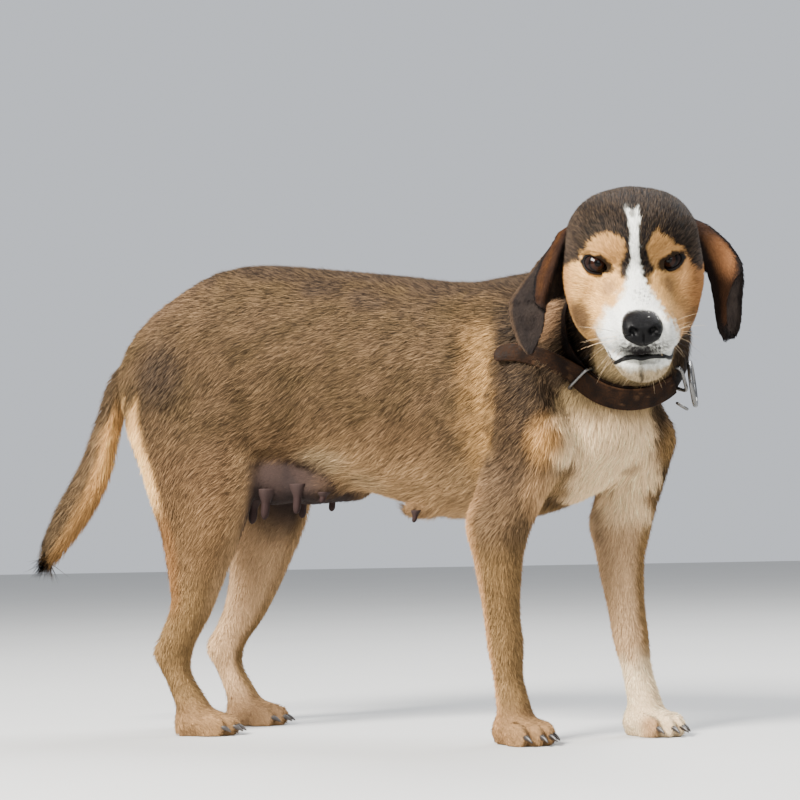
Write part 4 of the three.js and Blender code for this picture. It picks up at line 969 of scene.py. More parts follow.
def _shift(g, gin, gout):
    """multiplies the colour by a range that the mask picks from"""
    ramp, mix = g.nodes.new("ShaderNodeMapRange"), g.nodes.new("ShaderNodeMix")
    mix.data_type, mix.blend_type = "RGBA", "MULTIPLY"
    preset(mix, {0: 1.0})
    preset(ramp, {"From Min": 0.3, "From Max": 0.7})
    wire(g, (gin, "Mask", ramp, "Value"), (gin, "Low", ramp, "To Min"),
         (gin, "High", ramp, "To Max"), (gin, "Color", mix, 6), (ramp, "Result", mix, 7),
         (mix, 2, gout, "Color"))


UNEVEN = node_group(
    "uneven tone",
    [("Color", "NodeSocketColor", None), ("Mask", "NodeSocketFloat", 0.5),
     ("Low", "NodeSocketFloat", 0.8), ("High", "NodeSocketFloat", 1.2)],
    [("Color", "NodeSocketColor")], _shift)


def hide(name, rough, grain_scale, strength, distance, low=0.85, high=1.15, group=GRAIN,
         specular=0.5, coat=0.0, coat_rough=0.1, metallic=0.0, colour=None, rough_to=None):
    """A material whose colour is the piece's own tint, or one colour, made uneven, over a
    fine relief; its roughness may change with the relief too."""
    m = bpy.data.materials.new(name)
    m.use_nodes = True
    t = m.node_tree
    b = t.nodes["Principled BSDF"]
    preset(b, {"Roughness": rough, "Specular IOR Level": specular, "Coat Weight": coat,
               "Coat Roughness": coat_rough, "Metallic": metallic})
    place = t.nodes.new("ShaderNodeTexCoord")
    relief, uneven = t.nodes.new("ShaderNodeGroup"), t.nodes.new("ShaderNodeGroup")
    relief.node_tree, uneven.node_tree = group, UNEVEN
    preset(relief, {"Scale": grain_scale, "Strength": strength, "Distance": distance})
    preset(uneven, {"Low": low, "High": high})
    wire(t, (place, "Object", relief, "Vector"), (relief, "Mask", uneven, "Mask"),
         (uneven, "Color", b, "Base Color"), (relief, "Normal", b, "Normal"))
    if colour is None:
        tint = t.nodes.new("ShaderNodeAttribute")
        tint.attribute_name = "tint"
        wire(t, (tint, "Color", uneven, "Color"))
    else:
        preset(uneven, {"Color": (*colour, 1)})
    if rough_to is not None:
        worn = t.nodes.new("ShaderNodeMapRange")
        preset(worn, {"From Min": 0.35, "From Max": 0.65, "To Min": rough, "To Max": rough_to})
        wire(t, (relief, "Mask", worn, "Value"), (worn, "Result", b, "Roughness"))
    return m


SKIN = hide("undercoat", 0.8, 900, 0.6, 0.0008, 0.8, 1.15, specular=0.08)
HAIR = hide("hair", 0.66, 1500, 0.15, 0.0002, 0.92, 1.08, specular=0.06)
EYE = hide("wet eye", 0.2, 700, 0.02, 0.0001, 0.92, 1.08, specular=0.04, coat=0.16,
           coat_rough=0.02)
LID = hide("lid rim", 0.55, 1600, 0.4, 0.0003, 0.85, 1.15, PEBBLE, specular=0.15)
NOSE = hide("nose leather", 0.42, 1150, 0.8, 0.0005, 1.25, 0.75, PEBBLE, specular=0.09,
            coat=0.02, coat_rough=0.3)
LIP = hide("lip", 0.5, 1300, 0.5, 0.0003, 0.85, 1.15, PEBBLE, specular=0.2)
TEAT_SKIN = hide("teat skin", 0.75, 1200, 0.6, 0.0004, 0.85, 1.15, specular=0.08)
HORN = hide("claw horn", 0.38, 2200, 0.25, 0.0001, 0.7, 1.3)
WHISKER = hide("whisker", 0.4, 2000, 0.05, 0.0001, 0.95, 1.05)
LEATHER = hide("worn leather", 0.5, 520, 0.8, 0.0007, 0.55, 1.45, specular=0.06, rough_to=0.8)
STEEL = hide("plated steel", 0.2, 260, 0.12, 0.0001, 0.9, 1.05, metallic=1.0,
             colour=(0.15, 0.147, 0.143), rough_to=0.45)


# --------------------------------------------------------------- the skin and ears
COARSE, FINE = ((4.1, 2.25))
AXES = [graded(lo, hi, COARSE, FINE, zone) for lo, hi, zone in (
    (-416, 372, (262, 372)), (-262, 112, (-262, -75)), (-7, 512, (340, 512)))]
skin_points, skin_quads = surface_net(AXES, grid_levels(skin_level, AXES))
skin_points = settle(skin_points, skin_level, 2)
skin_normals = corner_normals(skin_points, skin_quads)

EAR_RIGHT = np.array([
    [0, 268, -140, 480, 112, 30, 4, 0], [0.12, 257, -150, 468, 128, 36, 14, 0],
    [0.27, 250, -157, 446, 142, 40, 18, 0], [0.42, 246, -163, 428, 152, 42, 17, 0],
    [0.56, 240, -167, 409, 160, 44, 8, 0], [0.68, 238, -168, 394, 162, 40, 1, 0],
    [0.8, 236, -169, 380, 164, 32, 0, 0], [0.92, 231, -171, 367, 166, 18, 0, 0],
    [1, 227, -172, 359, 167, 5, 0, 0]], float)
EAR_LEFT = np.array([
    [0, 341, -96, 484, 100, 30, 0, 0], [0.12, 347, -92, 473, 74, 31, 0, 0],
    [0.27, 357, -90, 453, 40, 29, 0, 0], [0.42, 364, -88, 435, 15, 29, 0, 1],
    [0.56, 369, -87, 417, 2, 26, 0, 4], [0.68, 371, -86, 401, 0, 22, 0, 8],
    [0.8, 372, -86, 387, 0, 20, 0, 8], [0.92, 374, -85, 375, 2, 15, 0, 5],
    [1, 378, -84, 367, 4, 6, 0, 1]], float)


def ear_sheet(rows, turn, cup, nu=58, nv=50, fine=240):
    """Middle surface of an ear. At each height a level path is drawn by its heading:
    a lapel turned out, a fold of 168 degrees, the sheet with a slight cup, a second
    fold and the rim turned over; the point is the path's running sum of the heading's
    cosine and sine. Also gives how far across each point is: under 0 on the lapel,
    0 to 1 on the sheet, over 1 on the rim."""
    t = np.linspace(0, 1, nu)
    x, y, z, heading, wide, lapel_raw, rim_raw = (np.interp(t, rows[:, 0], rows[:, k])[:, None]
                                                  for k in range(1, 8))
    lapel, rim, wide = np.maximum(1.5, lapel_raw), np.maximum(1.5, rim_raw), np.maximum(4, wide)
    bend1 = rad(168) * (0.05 + 0.95 * ease(lapel_raw / 6))
    bend2 = rad(168) * (0.05 + 0.95 * ease(rim_raw / 5))
    r = EAR_FOLD_RADIUS
    ends = np.cumsum(np.hstack([0 * x, lapel, r * bend1, wide, r * bend2, rim]), 1)
    s = np.linspace(0, 1, fine + 1)[None] * ends[:, -1:]
    part = [np.clip((s - ends[:, i:i + 1]) / (ends[:, i + 1:i + 2] - ends[:, i:i + 1]), 0, 1)
            for i in range(5)]
    angle = -bend1 - cup + bend1 * part[1] + 2 * cup * part[2] + bend2 * part[3]
    a = rad(heading) + turn * angle
    step = ends[:, -1:] / fine
    px = np.cumsum(np.cos(a), 1) * step
    py = np.cumsum(np.sin(a), 1) * step
    guide = np.argmin(np.abs(s - (ends[:, 1:2] + r * bend1 / 2)), 1)[:, None]
    px -= np.take_along_axis(px, guide, 1)
    py -= np.take_along_axis(py, guide, 1)
    pick = np.linspace(0, fine, nv).round().astype(int)
    across = (part[2] + part[3] + part[4] - (1 - part[0]) - (1 - part[1]))[:, pick]
    across = np.where(across > 1, 1 + (across - 1) / 2, across)
    mid = np.stack([x + px[:, pick], y + py[:, pick], z + 0 * px[:, pick]], -1)
    return mid, across


def ear_slab(mid, thick, rim=0.5):
    """Both faces of a thin body round a middle surface, thinned to its free edges."""
    n = unit(np.cross(np.gradient(mid, axis=0), np.gradient(mid, axis=1)))
    nu, nv = mid.shape[:2]
    i, j = np.arange(nu)[:, None], np.arange(nv)[None]
    edge = np.minimum(np.minimum(j, nv - 1 - j), (nu - 1 - i) * 1.5)
    t = (rim + (thick - rim) * np.sqrt(np.clip(edge / 5, 0, 1)))[..., None] / 2
    front, back = mid + n * t, mid - n * t
    q = sheet_faces(nu, nv)
    m = nu * nv
    idx = np.arange(m).reshape(nu, nv)
    loop = np.concatenate([idx[0], idx[1:, -1], idx[-1, -2::-1], idx[-2:0:-1, 0]])
    nxt = np.roll(loop, -1)
    faces = [q[:, ::-1], q + m, np.stack([loop, nxt, nxt + m, loop + m], 1)]
    return front.reshape(-1, 3), back.reshape(-1, 3), n.reshape(-1, 3), faces


def ear_markings(p, across, down, inner, right):
    """Colour of an ear: dark grizzled outside, rust inside fading to tan, with a black
    edge that widens to the tip. On the right ear the inside goes dark towards the
    front fold and black past it, as painted shade of the ear's hollow."""
    w = wobble(p, 14, 31)
    outer = lay(tone(36, 28, 25), tone(62, 50, 43), 0.4 + 0.35 * w)
    if right:
        outer = lay(outer, tone(126, 96, 70), between(across, 0.88, 1.0) * 0.6)
        inside = lay(tone(108, 62, 27), tone(66, 36, 18), 0.4 + 0.4 * w)
        # on the right ear the inside is painted darker towards the front fold and black past it:
        # painted shade of the ear's hollow
        layers = (((58, 32, 18), between(across, -1.35, -1.0) * 0.7),
                  ((74, 44, 28), between(-across, 1.35, 1.62) * 0.5),
                  (BLACK, between(-across, 1.72, 1.9)),
                  ((20, 15, 14), between(across, -0.9, -0.4)),
                  ((34, 27, 26), between(down, 0.56, 0.66)))
    else:
        inside = lay(tone(88, 50, 26), tone(180, 132, 86),
                     spot(np.c_[across, down, 0 * down], (0.62, 0.36, 0), (0.4, 0.15, 1), 0.6))
        rim = between(across, 0.86 - 0.34 * between(down, 0.3, 0.6), 1.0)
        rim = np.maximum(rim, between(down, 0.8, 0.9))
        rim = np.maximum(rim, (1 - between(down, 0.03, 0.1)) * 0.9)
        layers = (((86, 50, 28), between(down, 0.46, 0.6)), (BLACK, rim),
                  ((30, 20, 17), (1 - between(across, 0.08, 0.32)) * 0.92))
    c = np.where(inner[:, None], layered(inside, *layers), outer)
    return c, np.where(inner, 0.3, 0.8)


skin_tint, _grizzle = markings(skin_points, skin_normals)
SKIN_PARTS, SKIN_TINTS, EARS = [(skin_points, [skin_quads])], [skin_tint * SKIN_SHADE], []


def add_sheet(mid, thick, colours):
    """A thin sheet round a middle surface, joined to the skin and kept for its coat. The
    colours are worked out from its points and normals."""
    front, back, n, faces = ear_slab(mid, thick)
    pts, normals = np.vstack([front, back]), np.vstack([n, -n])
    tint, grizzle = colours(pts, normals)
    shape = (2, *mid.shape[:2])
    EARS.append((pts.reshape(*shape, 3), normals.reshape(*shape, 3), tint.reshape(*shape, 3),
                 grizzle.reshape(shape)))
    SKIN_PARTS.append((pts, outward(pts, faces, (pts - normals)[faces[0][:, 0]])))
    SKIN_TINTS.append(tint * SKIN_SHADE)


for rows, turn, cup, right in ((EAR_RIGHT, 1, 0.10, True), (EAR_LEFT, -1, 0.12, False)):
    mid, across = ear_sheet(rows, turn, cup)
    lateral = HEAD_LEFT * (-1 if right else 1) + NOSEWARD * 0.2

    def ear_colours(pts, normals):
        """the half of the points that faces away from the head is the outer face"""
        nu, nv = mid.shape[:2]
        out = dotp(normals[:nu * nv], lateral[None]).reshape(nu, nv)[:, 25].mean() > 0
        inner = np.repeat([not out, out], nu * nv)
        down = np.repeat(np.linspace(0, 1, nu), nv)
        return ear_markings(pts, np.tile(across.ravel(), 2), np.tile(down, 2), inner, right)

    add_sheet(mid, EAR_THICKNESS - 1.6, ear_colours)


def ear_root(rows, last, right, nu=26, nv=16):
    """Middle surface of the skin between an ear's front fold and the head: at each
    height a line from the fold, bowed by 4v(1-v), back and inwards to a point inside
    the skull."""
    t = np.linspace(0, last, nu)
    fold = np.stack([np.interp(t, rows[:, 0], rows[:, k]) for k in (1, 2, 3)], -1)
    h = in_head(fold)
    side = -1 if right else 1
    reach = head(h[:, 0] - 24, np.full(nu, side * 43.0), h[:, 2] - 3)
    v = np.linspace(0, 1, nv)[None, :, None]
    bow = (NOSEWARD * 5)[None, None] * 4 * v * (1 - v)
    shrink = (t / last)[:, None, None] ** 6 * 0.5
    return fold[:, None] * (1 - v) + (reach[:, None] + (fold - reach)[:, None] * shrink) * v - bow


def root_shade_colours(pts, _normals):
    """dark brown, unevenly paler: painted shade in the hollow between the ear and the head"""
    return (lay(tone(30, 22, 18), tone(54, 40, 30), 0.4 + 0.4 * wobble(pts, 9, 33)),
            np.full(len(pts), 0.6))


# dark panels from each ear's front fold to the head, painted as the shade in that hollow
for rows, last, right in ((EAR_RIGHT, 0.60, True), (EAR_LEFT, 0.47, False)):
    add_sheet(ear_root(rows, last, right), 3.6, root_shade_colours)
FLESH_NODES = ["trunk", "neck", "head", "tail", "ear_right", "ear_left"] + [
    f"{end}_{part}_{side}" for end in ("fore", "hind") for part in ("leg", "paw")
    for side in ("right", "left")]
add_piece("skin", *joined(SKIN_PARTS), SKIN, "body_coat", FLESH_NODES, np.vstack(SKIN_TINTS))

# --------------------------------------------------------------------------- eyes
CAMERA_PLACE = np.array([1173.7, -2207.4, 205.0])
CAMERA_RIGHT = np.array([0.8829476, 0.4694716, 0.0])
CORNEA = 0.8


def eyeball(s, rows=72, cols=96):
    """A ball swept from its front pole by angle from the pole and round it, its radius
    raised by CORNEA (1 - (angle / 0.62)^2)^2; pupil, iris, dark ring and white of the
    eye are laid on by that angle, with rays by the angle round."""
    c, _axes = eye_frame(s)
    look = unit(unit(CAMERA_PLACE - c) - CAMERA_RIGHT * 0.12 * s)
    side = unit(np.cross(HEAD_UP, look))
    over = np.cross(look, side)
    a = np.linspace(0, np.pi, rows)[1:-1, None]
    b = np.arange(cols)[None] * 2 * np.pi / cols
    r = EYE_RADIUS + CORNEA * np.clip(1 - (a / 0.62) ** 2, 0, 1) ** 2
    p = c + (r * np.cos(a))[..., None] * look + (r * np.sin(a))[..., None] * (
        np.cos(b)[..., None] * side + np.sin(b)[..., None] * over)
    rays = 0.5 + 0.25 * np.sin(b * 23 + 2 * np.sin(b * 3)) + 0.25 * np.sin(b * 41 + 1.3)
    rays, aa = (rays + 0 * a).ravel(), (a + 0 * b).ravel()
    pupil, rear = (3, 3, 3), (40, 30, 28)
    tint = layered(tone(44, 22, 15), ((84, 44, 27), rays * 0.6),
                   ((22, 12, 9), between(aa, 0.5, 0.64)),
                   (pupil, 1 - between(aa, 0.24, 0.30)), ((6, 5, 5), between(aa, 0.62, 0.68)),
                   ((46, 30, 24), between(aa, 0.74, 0.84)), (rear, between(aa, 0.98, 1.16)))
    tint = np.vstack([tint, tone(*pupil), tone(*rear)])
    return *capped(p, c + look * (EYE_RADIUS + CORNEA), c - look * EYE_RADIUS), tint


def whole_skin(p):
    """signed distance to the skin without its eye sockets"""
    return skin_level(p, False)


def lid_ring(s, rows=30, cols=96):
    """Lids as a height over the eye's own directions: from the rim of an almond opening
    (half widths 11.6 to the nose and 10.2 away, half heights 7.7 and 6.8) the height
    goes from the ball, up over a rounded rim, and eases on to the face's surface."""
    c, ax = eye_frame(s)
    look, side, over = ax
    side = side * (-s)
    b = np.arange(cols)[None] * 2 * np.pi / cols
    k = np.linspace(0, 1, rows)[:, None] ** 1.35
    cb, sb = np.cos(b), np.sin(b)
    shift = 0.4 if s < 0 else 1.0
    x0 = np.where(cb > 0, 11.6, 10.2) * cb + shift
    y0 = np.where(sb > 0, 7.7, 6.8) * np.sign(sb) * np.abs(sb) ** 1.05
    y0 = y0 - 0.2 * (x0 - shift) - 0.2
    x1, y1 = 19.5 * cb, 15.5 * sb
    x, y = x0 + (x1 - x0) * k, y0 + (y1 - y0) * k
    q = c + x[..., None] * side + y[..., None] * over
    t = np.linspace(26, -26, 105)
    pts = q.reshape(-1, 1, 3) + t[None, :, None] * look
    d = whole_skin(pts.reshape(-1, 3)).reshape(len(pts), -1)
    i = np.maximum(1, np.argmax(d < 0, 1))
    d0, d1 = (np.take_along_axis(d, j[:, None], 1)[:, 0] for j in (i - 1, i))
    face = (t[i - 1] + (t[i] - t[i - 1]) * d0 / np.maximum(d0 - d1, 1e-6)).reshape(x.shape)
    away = np.sqrt(x ** 2 + y ** 2)
    ball = np.sqrt(np.maximum((EYE_RADIUS + 0.15) ** 2 - away ** 2, 4.0))
    rim = 1.15 * np.sin(np.clip(k / 0.10, 0, 1) * np.pi / 2)
    puff = 1.3 * np.exp(-((k - 0.16) / 0.16) ** 2) * np.where(sb > 0, 1.1, 0.8)
    crease = -0.75 * np.exp(-((k - 0.40) / 0.07) ** 2) * np.clip(sb, 0, 1)
    under = -0.5 * np.exp(-((k - 0.5) / 0.1) ** 2) * np.clip(-sb, 0, 1)
    z = ball + rim
    z = z + (face + 0.5 - z) * ease((k - 0.04) / 0.62) + puff + crease + under
    z = z - 4.0 * ease((k - 0.86) / 0.14)
    z = np.where(k == 0, ball - 0.9, z)
    p = q + z[..., None] * look
    dark = (1 - between(k, 0.22, 0.44) + 0 * x).ravel()
    flat = np.stack([x, y, 0 * x], -1).reshape(-1, 3)
    corner = spot(flat, (15.0, -4.6, 0), (6.4, 3.9, 1), 0.45)
    outer = spot(flat, (-10.6, 1.8, 0), (4.2, 2.8, 1), 0.4)
    dark = np.maximum(np.maximum(dark, corner), outer)
    n = unit(np.cross(np.gradient(p, axis=0), np.gradient(p, axis=1)))
    n = n * np.sign(dotp(n, look[None, None]).mean())
    tint, _grizzle = markings(p.reshape(-1, 3), n.reshape(-1, 3))
    tint = lay(tint, tone(12, 9, 9), dark)
    return p, n, tint.reshape(p.shape), dark.reshape(x.shape)


LIDS = []
for s, label in ((-1, "right"), (1, "left")):
    pts, faces, tint = eyeball(s)
    add_piece(f"eyeball_{label}", pts, faces, EYE, "eye", [f"eye_{label}"], tint)
    p, n, tint, dark = lid_ring(s)
    flat = p.reshape(-1, 3)
    faces = [sheet_faces(*dark.shape, False, True)]
    faces = outward(flat, faces, (p - n).reshape(-1, 3)[faces[0][:, 0]])
    add_piece(f"eyelids_{label}", flat, faces, LID, "face_coat", (), tint.reshape(-1, 3))
    LIDS.append((p, n, tint, dark))


# ------------------------------------------------------------ nose, lips, whiskers
NOSE_L, NOSE_U = -3.0, -32.0          # the nose sits a little to the right of the middle
NOSE_BACK, NOSE_DEPTH = 78, 17.0


def nose_leather(rows=56, cols=128):
    """A blunt dome: outline radius by angle round the nose times k^0.9, its height
    NOSE_BACK + NOSE_DEPTH (1 - k^3.4)^(1/3), less hollows for the nostrils, their side
    slits and the groove between them."""
    b = np.arange(cols)[None] * 2 * np.pi / cols
    k = np.linspace(0.0, 1, rows)[1:, None]
    cb, sb = np.cos(b), np.sin(b)
    half = np.where(sb > 0, 18.0, 18.0 - 5.5 * np.clip(-sb, 0, 1) ** 2)
    tall = np.where(sb > 0, 14.0, 16.5)
    square = (np.abs(cb) ** 2.6 + np.abs(sb) ** 2.6) ** (-1 / 2.6)
    l = square * cb * half * k ** 0.9
    u = square * sb * tall * k ** 0.9
    narrow = 1 - 0.38 * ease((-u - 7) / 10)
    l = l * narrow
    f = NOSE_BACK + NOSE_DEPTH * np.clip(1 - k ** 3.4, 0, 1) ** (1 / 3.0) + 0 * b
    f = f - 6.5 * ease((u - 3) / 12) - 2.0 * ease((-u - 8) / 9)
    f = f + 1.5 * np.exp(-((np.abs(l) - 10) / 5) ** 2 - ((u - 2) / 6) ** 2)
    al = np.abs(l)
    turn = (al - 8.4) * 0.9 + (u - 1.6) * 0.43
    rise = (u - 1.6) * 0.9 - (al - 8.4) * 0.43
    hole = np.exp(-(np.abs(turn / 3.7) ** 3 + np.abs(rise / 3.1) ** 3))
    slit = np.exp(-((u + 2.6 + 0.34 * (al - 12)) / 1.2) ** 2)
    slit = slit * between(al, 9, 11.5) * (1 - between(al, 15, 18))
    groove = np.exp(-(l / 0.9) ** 2) * (1 - between(u, -3, 3))
    f = f - 5.0 * hole - 2.2 * slit - 1.2 * groove
    p = head(f, l + NOSE_L, u + NOSE_U)
    # the nostrils, their slits and the groove are painted darker than the leather, as painted
    # shade in these hollows
    dark = lay(tone(11, 10, 11), tone(2, 2, 2), (hole + 0.7 * slit).ravel())
    dark = lay(dark, tone(5, 4, 5), (groove * 0.8).ravel())
    tint = np.vstack([dark, tone(11, 10, 11), tone(5, 4, 5)])
    return *capped(p, head(94.85, NOSE_L, NOSE_U), head(60, NOSE_L, NOSE_U)), tint


pts, faces, tint = nose_leather()
faces = outward(pts, faces, head(80, NOSE_L, NOSE_U))
add_piece("nose", pts, faces, NOSE, "face_coat", (), tint)

LIP_PATH = np.array([
    (22, -37, -70), (36, -35.5, -73), (49, -30, -74.5), (56, -25.5, -73.5), (64.5, -21, -67.8),
    (69.2, -15.5, -64.2), (71.0, -9, -62.8), (71.8, -3, -63.6), (71.2, 3, -62.8),
    (70, 10, -63), (67.5, 16, -65), (61, 22.5, -69), (52, 29, -72), (36, 35, -72),
    (22, 37, -69)], float)
# the same path drawn on to the skin
LIP_PATH = in_head(settle(head(*LIP_PATH.T), whole_skin, 6, 3.0))


def lips():
    """A dark bead along the line of the mouth: a flattened round profile carried along
    a smooth path on the skin, thinning to its ends."""
    path = smooth_rows(LIP_PATH, 8)
    c = head(*path.T)
    n = unit(slope(c, whole_skin, 1.5))
    along = unit(np.gradient(c, axis=0))
    side = unit(np.cross(n, along))
    t = np.linspace(0, 1, len(c))
    thick = 0.35 + 1.25 * np.sin(np.pi * t) ** 0.9
    o = ring_outline(12, 1.0, 1.0)[None] * thick[:, None, None] * np.array([1.7, 1.2])
    return swept(c + n * 0.5, side, n, o)


pts, faces = lips()
add_piece("lips", pts, faces, LIP, "face_coat", (),
          np.broadcast_to(tone(7, 5, 6), (len(pts), 3)))

G = np.random.default_rng(7)
WHISKER_COUNT, LIP_WHISKERS = 46, 40   # the rest are on the chin


def whiskers():
    """Fine bristles from the lips and chin: three-sided spikes whose path leaves the
    skin outwards and backwards and droops by the square of the distance along."""
    n = WHISKER_COUNT
    s = np.where(G.random(n) < 0.5, -1.0, 1.0)
    f = G.uniform(46, 76, n)
    u = G.uniform(-60, -38, n)
    l = s * (14 + (76 - f) * 0.55 + G.uniform(-1, 1, n))
    chin = np.arange(n) >= LIP_WHISKERS
    f = np.where(chin, G.uniform(40, 60, n), f)
    u = np.where(chin, -84.0, u)
    l = np.where(chin, s * G.uniform(2, 14, n), l)
    root = settle(head(f, l, u), whole_skin, 6, 4.0)
    out = unit(slope(root, whole_skin, 1.0))
    go = out * 0.75 - NOSEWARD * np.where(chin, 0.1, 0.75)[:, None]
    go = unit(unit(go + G.normal(size=(n, 3)) * 0.16) + np.array([0, 0, -0.12]))
    size = np.where(chin, G.uniform(8, 14, n), G.uniform(16, 38, n))
    t = np.linspace(0, 1, 7)
    mid = root[:, None] + go[:, None] * (t * size[:, None])[..., None]
    mid = mid + np.array([0, 0, -1.0]) * (t ** 2 * size[:, None] * 0.16)[..., None]
    a = unit(np.cross(go, [0.1, 0.2, 1.0]))
    b = np.cross(go, a)
    ang = np.arange(3) * 2 * np.pi / 3
    ring = np.cos(ang)[None, :, None] * a[:, None] + np.sin(ang)[None, :, None] * b[:, None]
    w = 0.14 * (1 - 0.85 * t)
    p = mid[:, :, None] + ring[:, None] * w[None, :, None, None]
    idx = np.arange(n * 21).reshape(n, 7, 3)
    nxt = np.roll(idx, -1, 2)
    q = np.stack([idx[:, :-1], nxt[:, :-1], nxt[:, 1:], idx[:, 1:]], -1)
    caps = np.concatenate([idx[:, 0, ::-1], idx[:, -1]])
    pale = np.repeat(G.random(n) < 0.55, 21)
    tint = np.where(pale[:, None], tone(225, 215, 200), tone(52, 44, 40))
    return p.reshape(-1, 3), [q.reshape(-1, 4), caps], tint


pts, faces, tint = whiskers()
add_piece("whiskers", pts, faces, WHISKER, "face_coat", (), tint)

# ------------------------------------------------------------------ claws and teats
CLAW_LENGTH, CLAW_RADIUS = 10, 2.3
CLAW_AHEAD, CLAW_HEIGHT, CLAW_DROP = 10.5, 9.3, 4.8   # of its root, and of its tip under it


def claws():
    """Each claw: rings of radius R (1 - 0.78 k^2), taller than wide, carried forward
    along a path that drops by the square of k, closed to a blunt point."""
    parts = []
    for c, ahead, left, w in PAWS:
        for f, l in TOES:
            start = c + ahead * (f + CLAW_AHEAD) + left * l * w + np.array([0, 0, CLAW_HEIGHT])
            k = np.linspace(0, 1, 12)[:, None]
            mid = start + ahead * (CLAW_LENGTH + 1.5) * k - np.array([0, 0, CLAW_DROP]) * k ** 2
            along = unit(np.gradient(mid, axis=0))
            over = unit(np.cross(along, left[None]))
            over = over * np.sign(over[:, 2:])
            r = CLAW_RADIUS * (1 - 0.78 * k[:, 0] ** 2)
            o = ring_outline(12, 1.0, 1.22)[None] * r[:, None, None]
            parts.append(swept(mid, np.broadcast_to(left, mid.shape), over, o))
    return joined(parts)


pts, faces = claws()
CLAW_NODES = [f"{end}_claw_{side}_{i}" for end in ("fore", "hind") for side in ("right", "left")
              for i in range(1, 5)]
add_piece("claws", pts, faces, HORN, "claw", CLAW_NODES,
          lay(tone(96, 82, 72), tone(50, 42, 38), np.clip((pts[:, 2] - 3) / 8, 0, 1)))

TEATS = [(-150, -40, 212, 5.4), (-131, -47, 216, 5.2), (-96, -43, 221, 5.0),
         (-70, -37, 231, 3.8), (-140, 41, 217, 5.0), (-104, 40, 223, 4.4), (36, -42, 209, 3.0)]


def teats(rows=22, cols=18):
    """Each teat: a round profile whose radius falls from 1.75 r at its root to 0.8 r and
    then to a rounded tip; uneven by a slow ripple round it."""
    parts, tints = [], []
    k = np.linspace(0, 1, rows)
    across, along, _up = (np.tile(e, (rows, 1)) for e in np.eye(3))
    for x, y, tip, r in TEATS:
        z = np.arange(tip, tip + 45.0)
        inside = flesh(np.c_[np.full(45, x), np.full(45, y), z]) < -3.5
        top = z[np.argmax(inside)] if inside.any() else tip + 30
        rounded = 1 - ((k - 0.72) / 0.285).clip(0, 1) ** 2
        rr = r * (1.75 - 0.95 * ease(k * 1.9)) * np.sqrt(np.clip(rounded, 0.02, 1))
        mid = np.c_[x - 2.5 * (k - 0.5), y * (1 + 0.03 * k), top + (tip - top) * k]
        ring = ring_outline(cols, 1, 1) * (1 + 0.05 * np.sin(np.arange(cols) * 1.4 + x))[:, None]
        parts.append(swept(mid, across, along, ring[None] * rr[:, None, None]))
        down = np.r_[np.repeat(k, cols), 0, 1]
        tints.append(lay(BELLY_SKIN, TEAT, between(down, 0.15, 0.6)))
    return *joined(parts), np.vstack(tints)


pts, faces, tint = teats()
add_piece("teats", pts, faces, TEAT_SKIN, "body_coat", (), tint)

# --------------------------------------------------------------------- the collar
COLLAR_LEVEL = level(COLLAR_TURN)
_lean = rad(COLLAR_LEAN)
COLLAR_UP = np.array([-np.sin(_lean) * COLLAR_LEVEL[1], np.sin(_lean) * COLLAR_LEVEL[0],
                      np.cos(_lean)])
COLLAR_NORMAL = np.cross(COLLAR_LEVEL, COLLAR_UP)


def round_ring(deg):
    """outward direction round the ring, from the throat at 0 to the left side at 90"""
    a = rad(np.asarray(deg, float))[..., None]
    return -np.cos(a) * COLLAR_UP + np.sin(a) * COLLAR_LEVEL


MEASURES = 32                         # of the neck round the collar's centre
_reach = np.arange(30, COLLAR_MAX_RADIUS + 0.1, 0.5)
_dirs = round_ring(np.arange(MEASURES) * 360 / MEASURES)
_d = flesh((COLLAR_CENTRE + _dirs[:, None] * _reach[None, :, None]).reshape(-1, 3))
_d = _d.reshape(MEASURES, -1)
RING_RADII = np.where((_d > 0).any(1), _reach[np.argmax(_d > 0, 1)], COLLAR_MAX_RADIUS)
for _pass in range(4):
    RING_RADII = 0.5 * RING_RADII + 0.25 * (np.roll(RING_RADII, 1) + np.roll(RING_RADII, -1))


def ring_radius(deg):
    """radius of the strap's ring, a smooth closed curve through its measures"""
    a = np.asarray(deg, float) % 360
    k = np.arange(-3, MEASURES + 4)
    v = RING_RADII[k % MEASURES]
    w = np.exp(-0.5 * ((a[..., None] - k * 360 / MEASURES) / 9.0) ** 2)
    return (w * v).sum(-1) / w.sum(-1)


def strap_frame(deg):
    """across and out directions of the strap, laid back on the throat by a cone"""
    a = np.asarray(deg, float)
    cone = (rad(COLLAR_CONE) * (0.5 + 0.5 * np.cos(rad(a))))[..., None]
    out = round_ring(a)
    return (COLLAR_NORMAL * np.cos(cone) - out * np.sin(cone),
            out * np.cos(cone) + COLLAR_NORMAL * np.sin(cone))


def on_ring(deg, up):
    """A point so far over the strap's inner line, which presses into the coat by
    STRAP_SUNK except at the throat, where the strap hangs free."""
    out = strap_frame(deg)[1]
    away = np.abs((np.asarray(deg, float) + 180) % 360 - 180)
    up = np.asarray(up) - STRAP_SUNK * between(away, 78, 112)
    ring = COLLAR_CENTRE + round_ring(deg) * ring_radius(deg)[..., None]
    return ring + out * np.asarray(up)[..., None]


def strap_outline(width, thick):
    """A strap's section: flat faces with rounded edges, and on the outer face a line
    pressed 3 mm inside each edge, 0.32 exp(-((|x| - w + 3) / 0.6)^2) deep."""
    t = np.linspace(0, 1, 25)
    w, h = width / 2, thick / 2
    x = w * np.sin((t - 0.5) * np.pi) * 0.999
    crown = h * np.clip(1 - np.abs(x / w) ** 7, 0, 1) ** 0.5
    pressed = 0.32 * np.exp(-((np.abs(x) - w + 3.0) / 0.6) ** 2)
    top = np.stack([x, crown - pressed], -1)
    low = np.stack([x[::-1], -crown[::-1]], -1)[1:-1]
    return np.vstack([top, low])


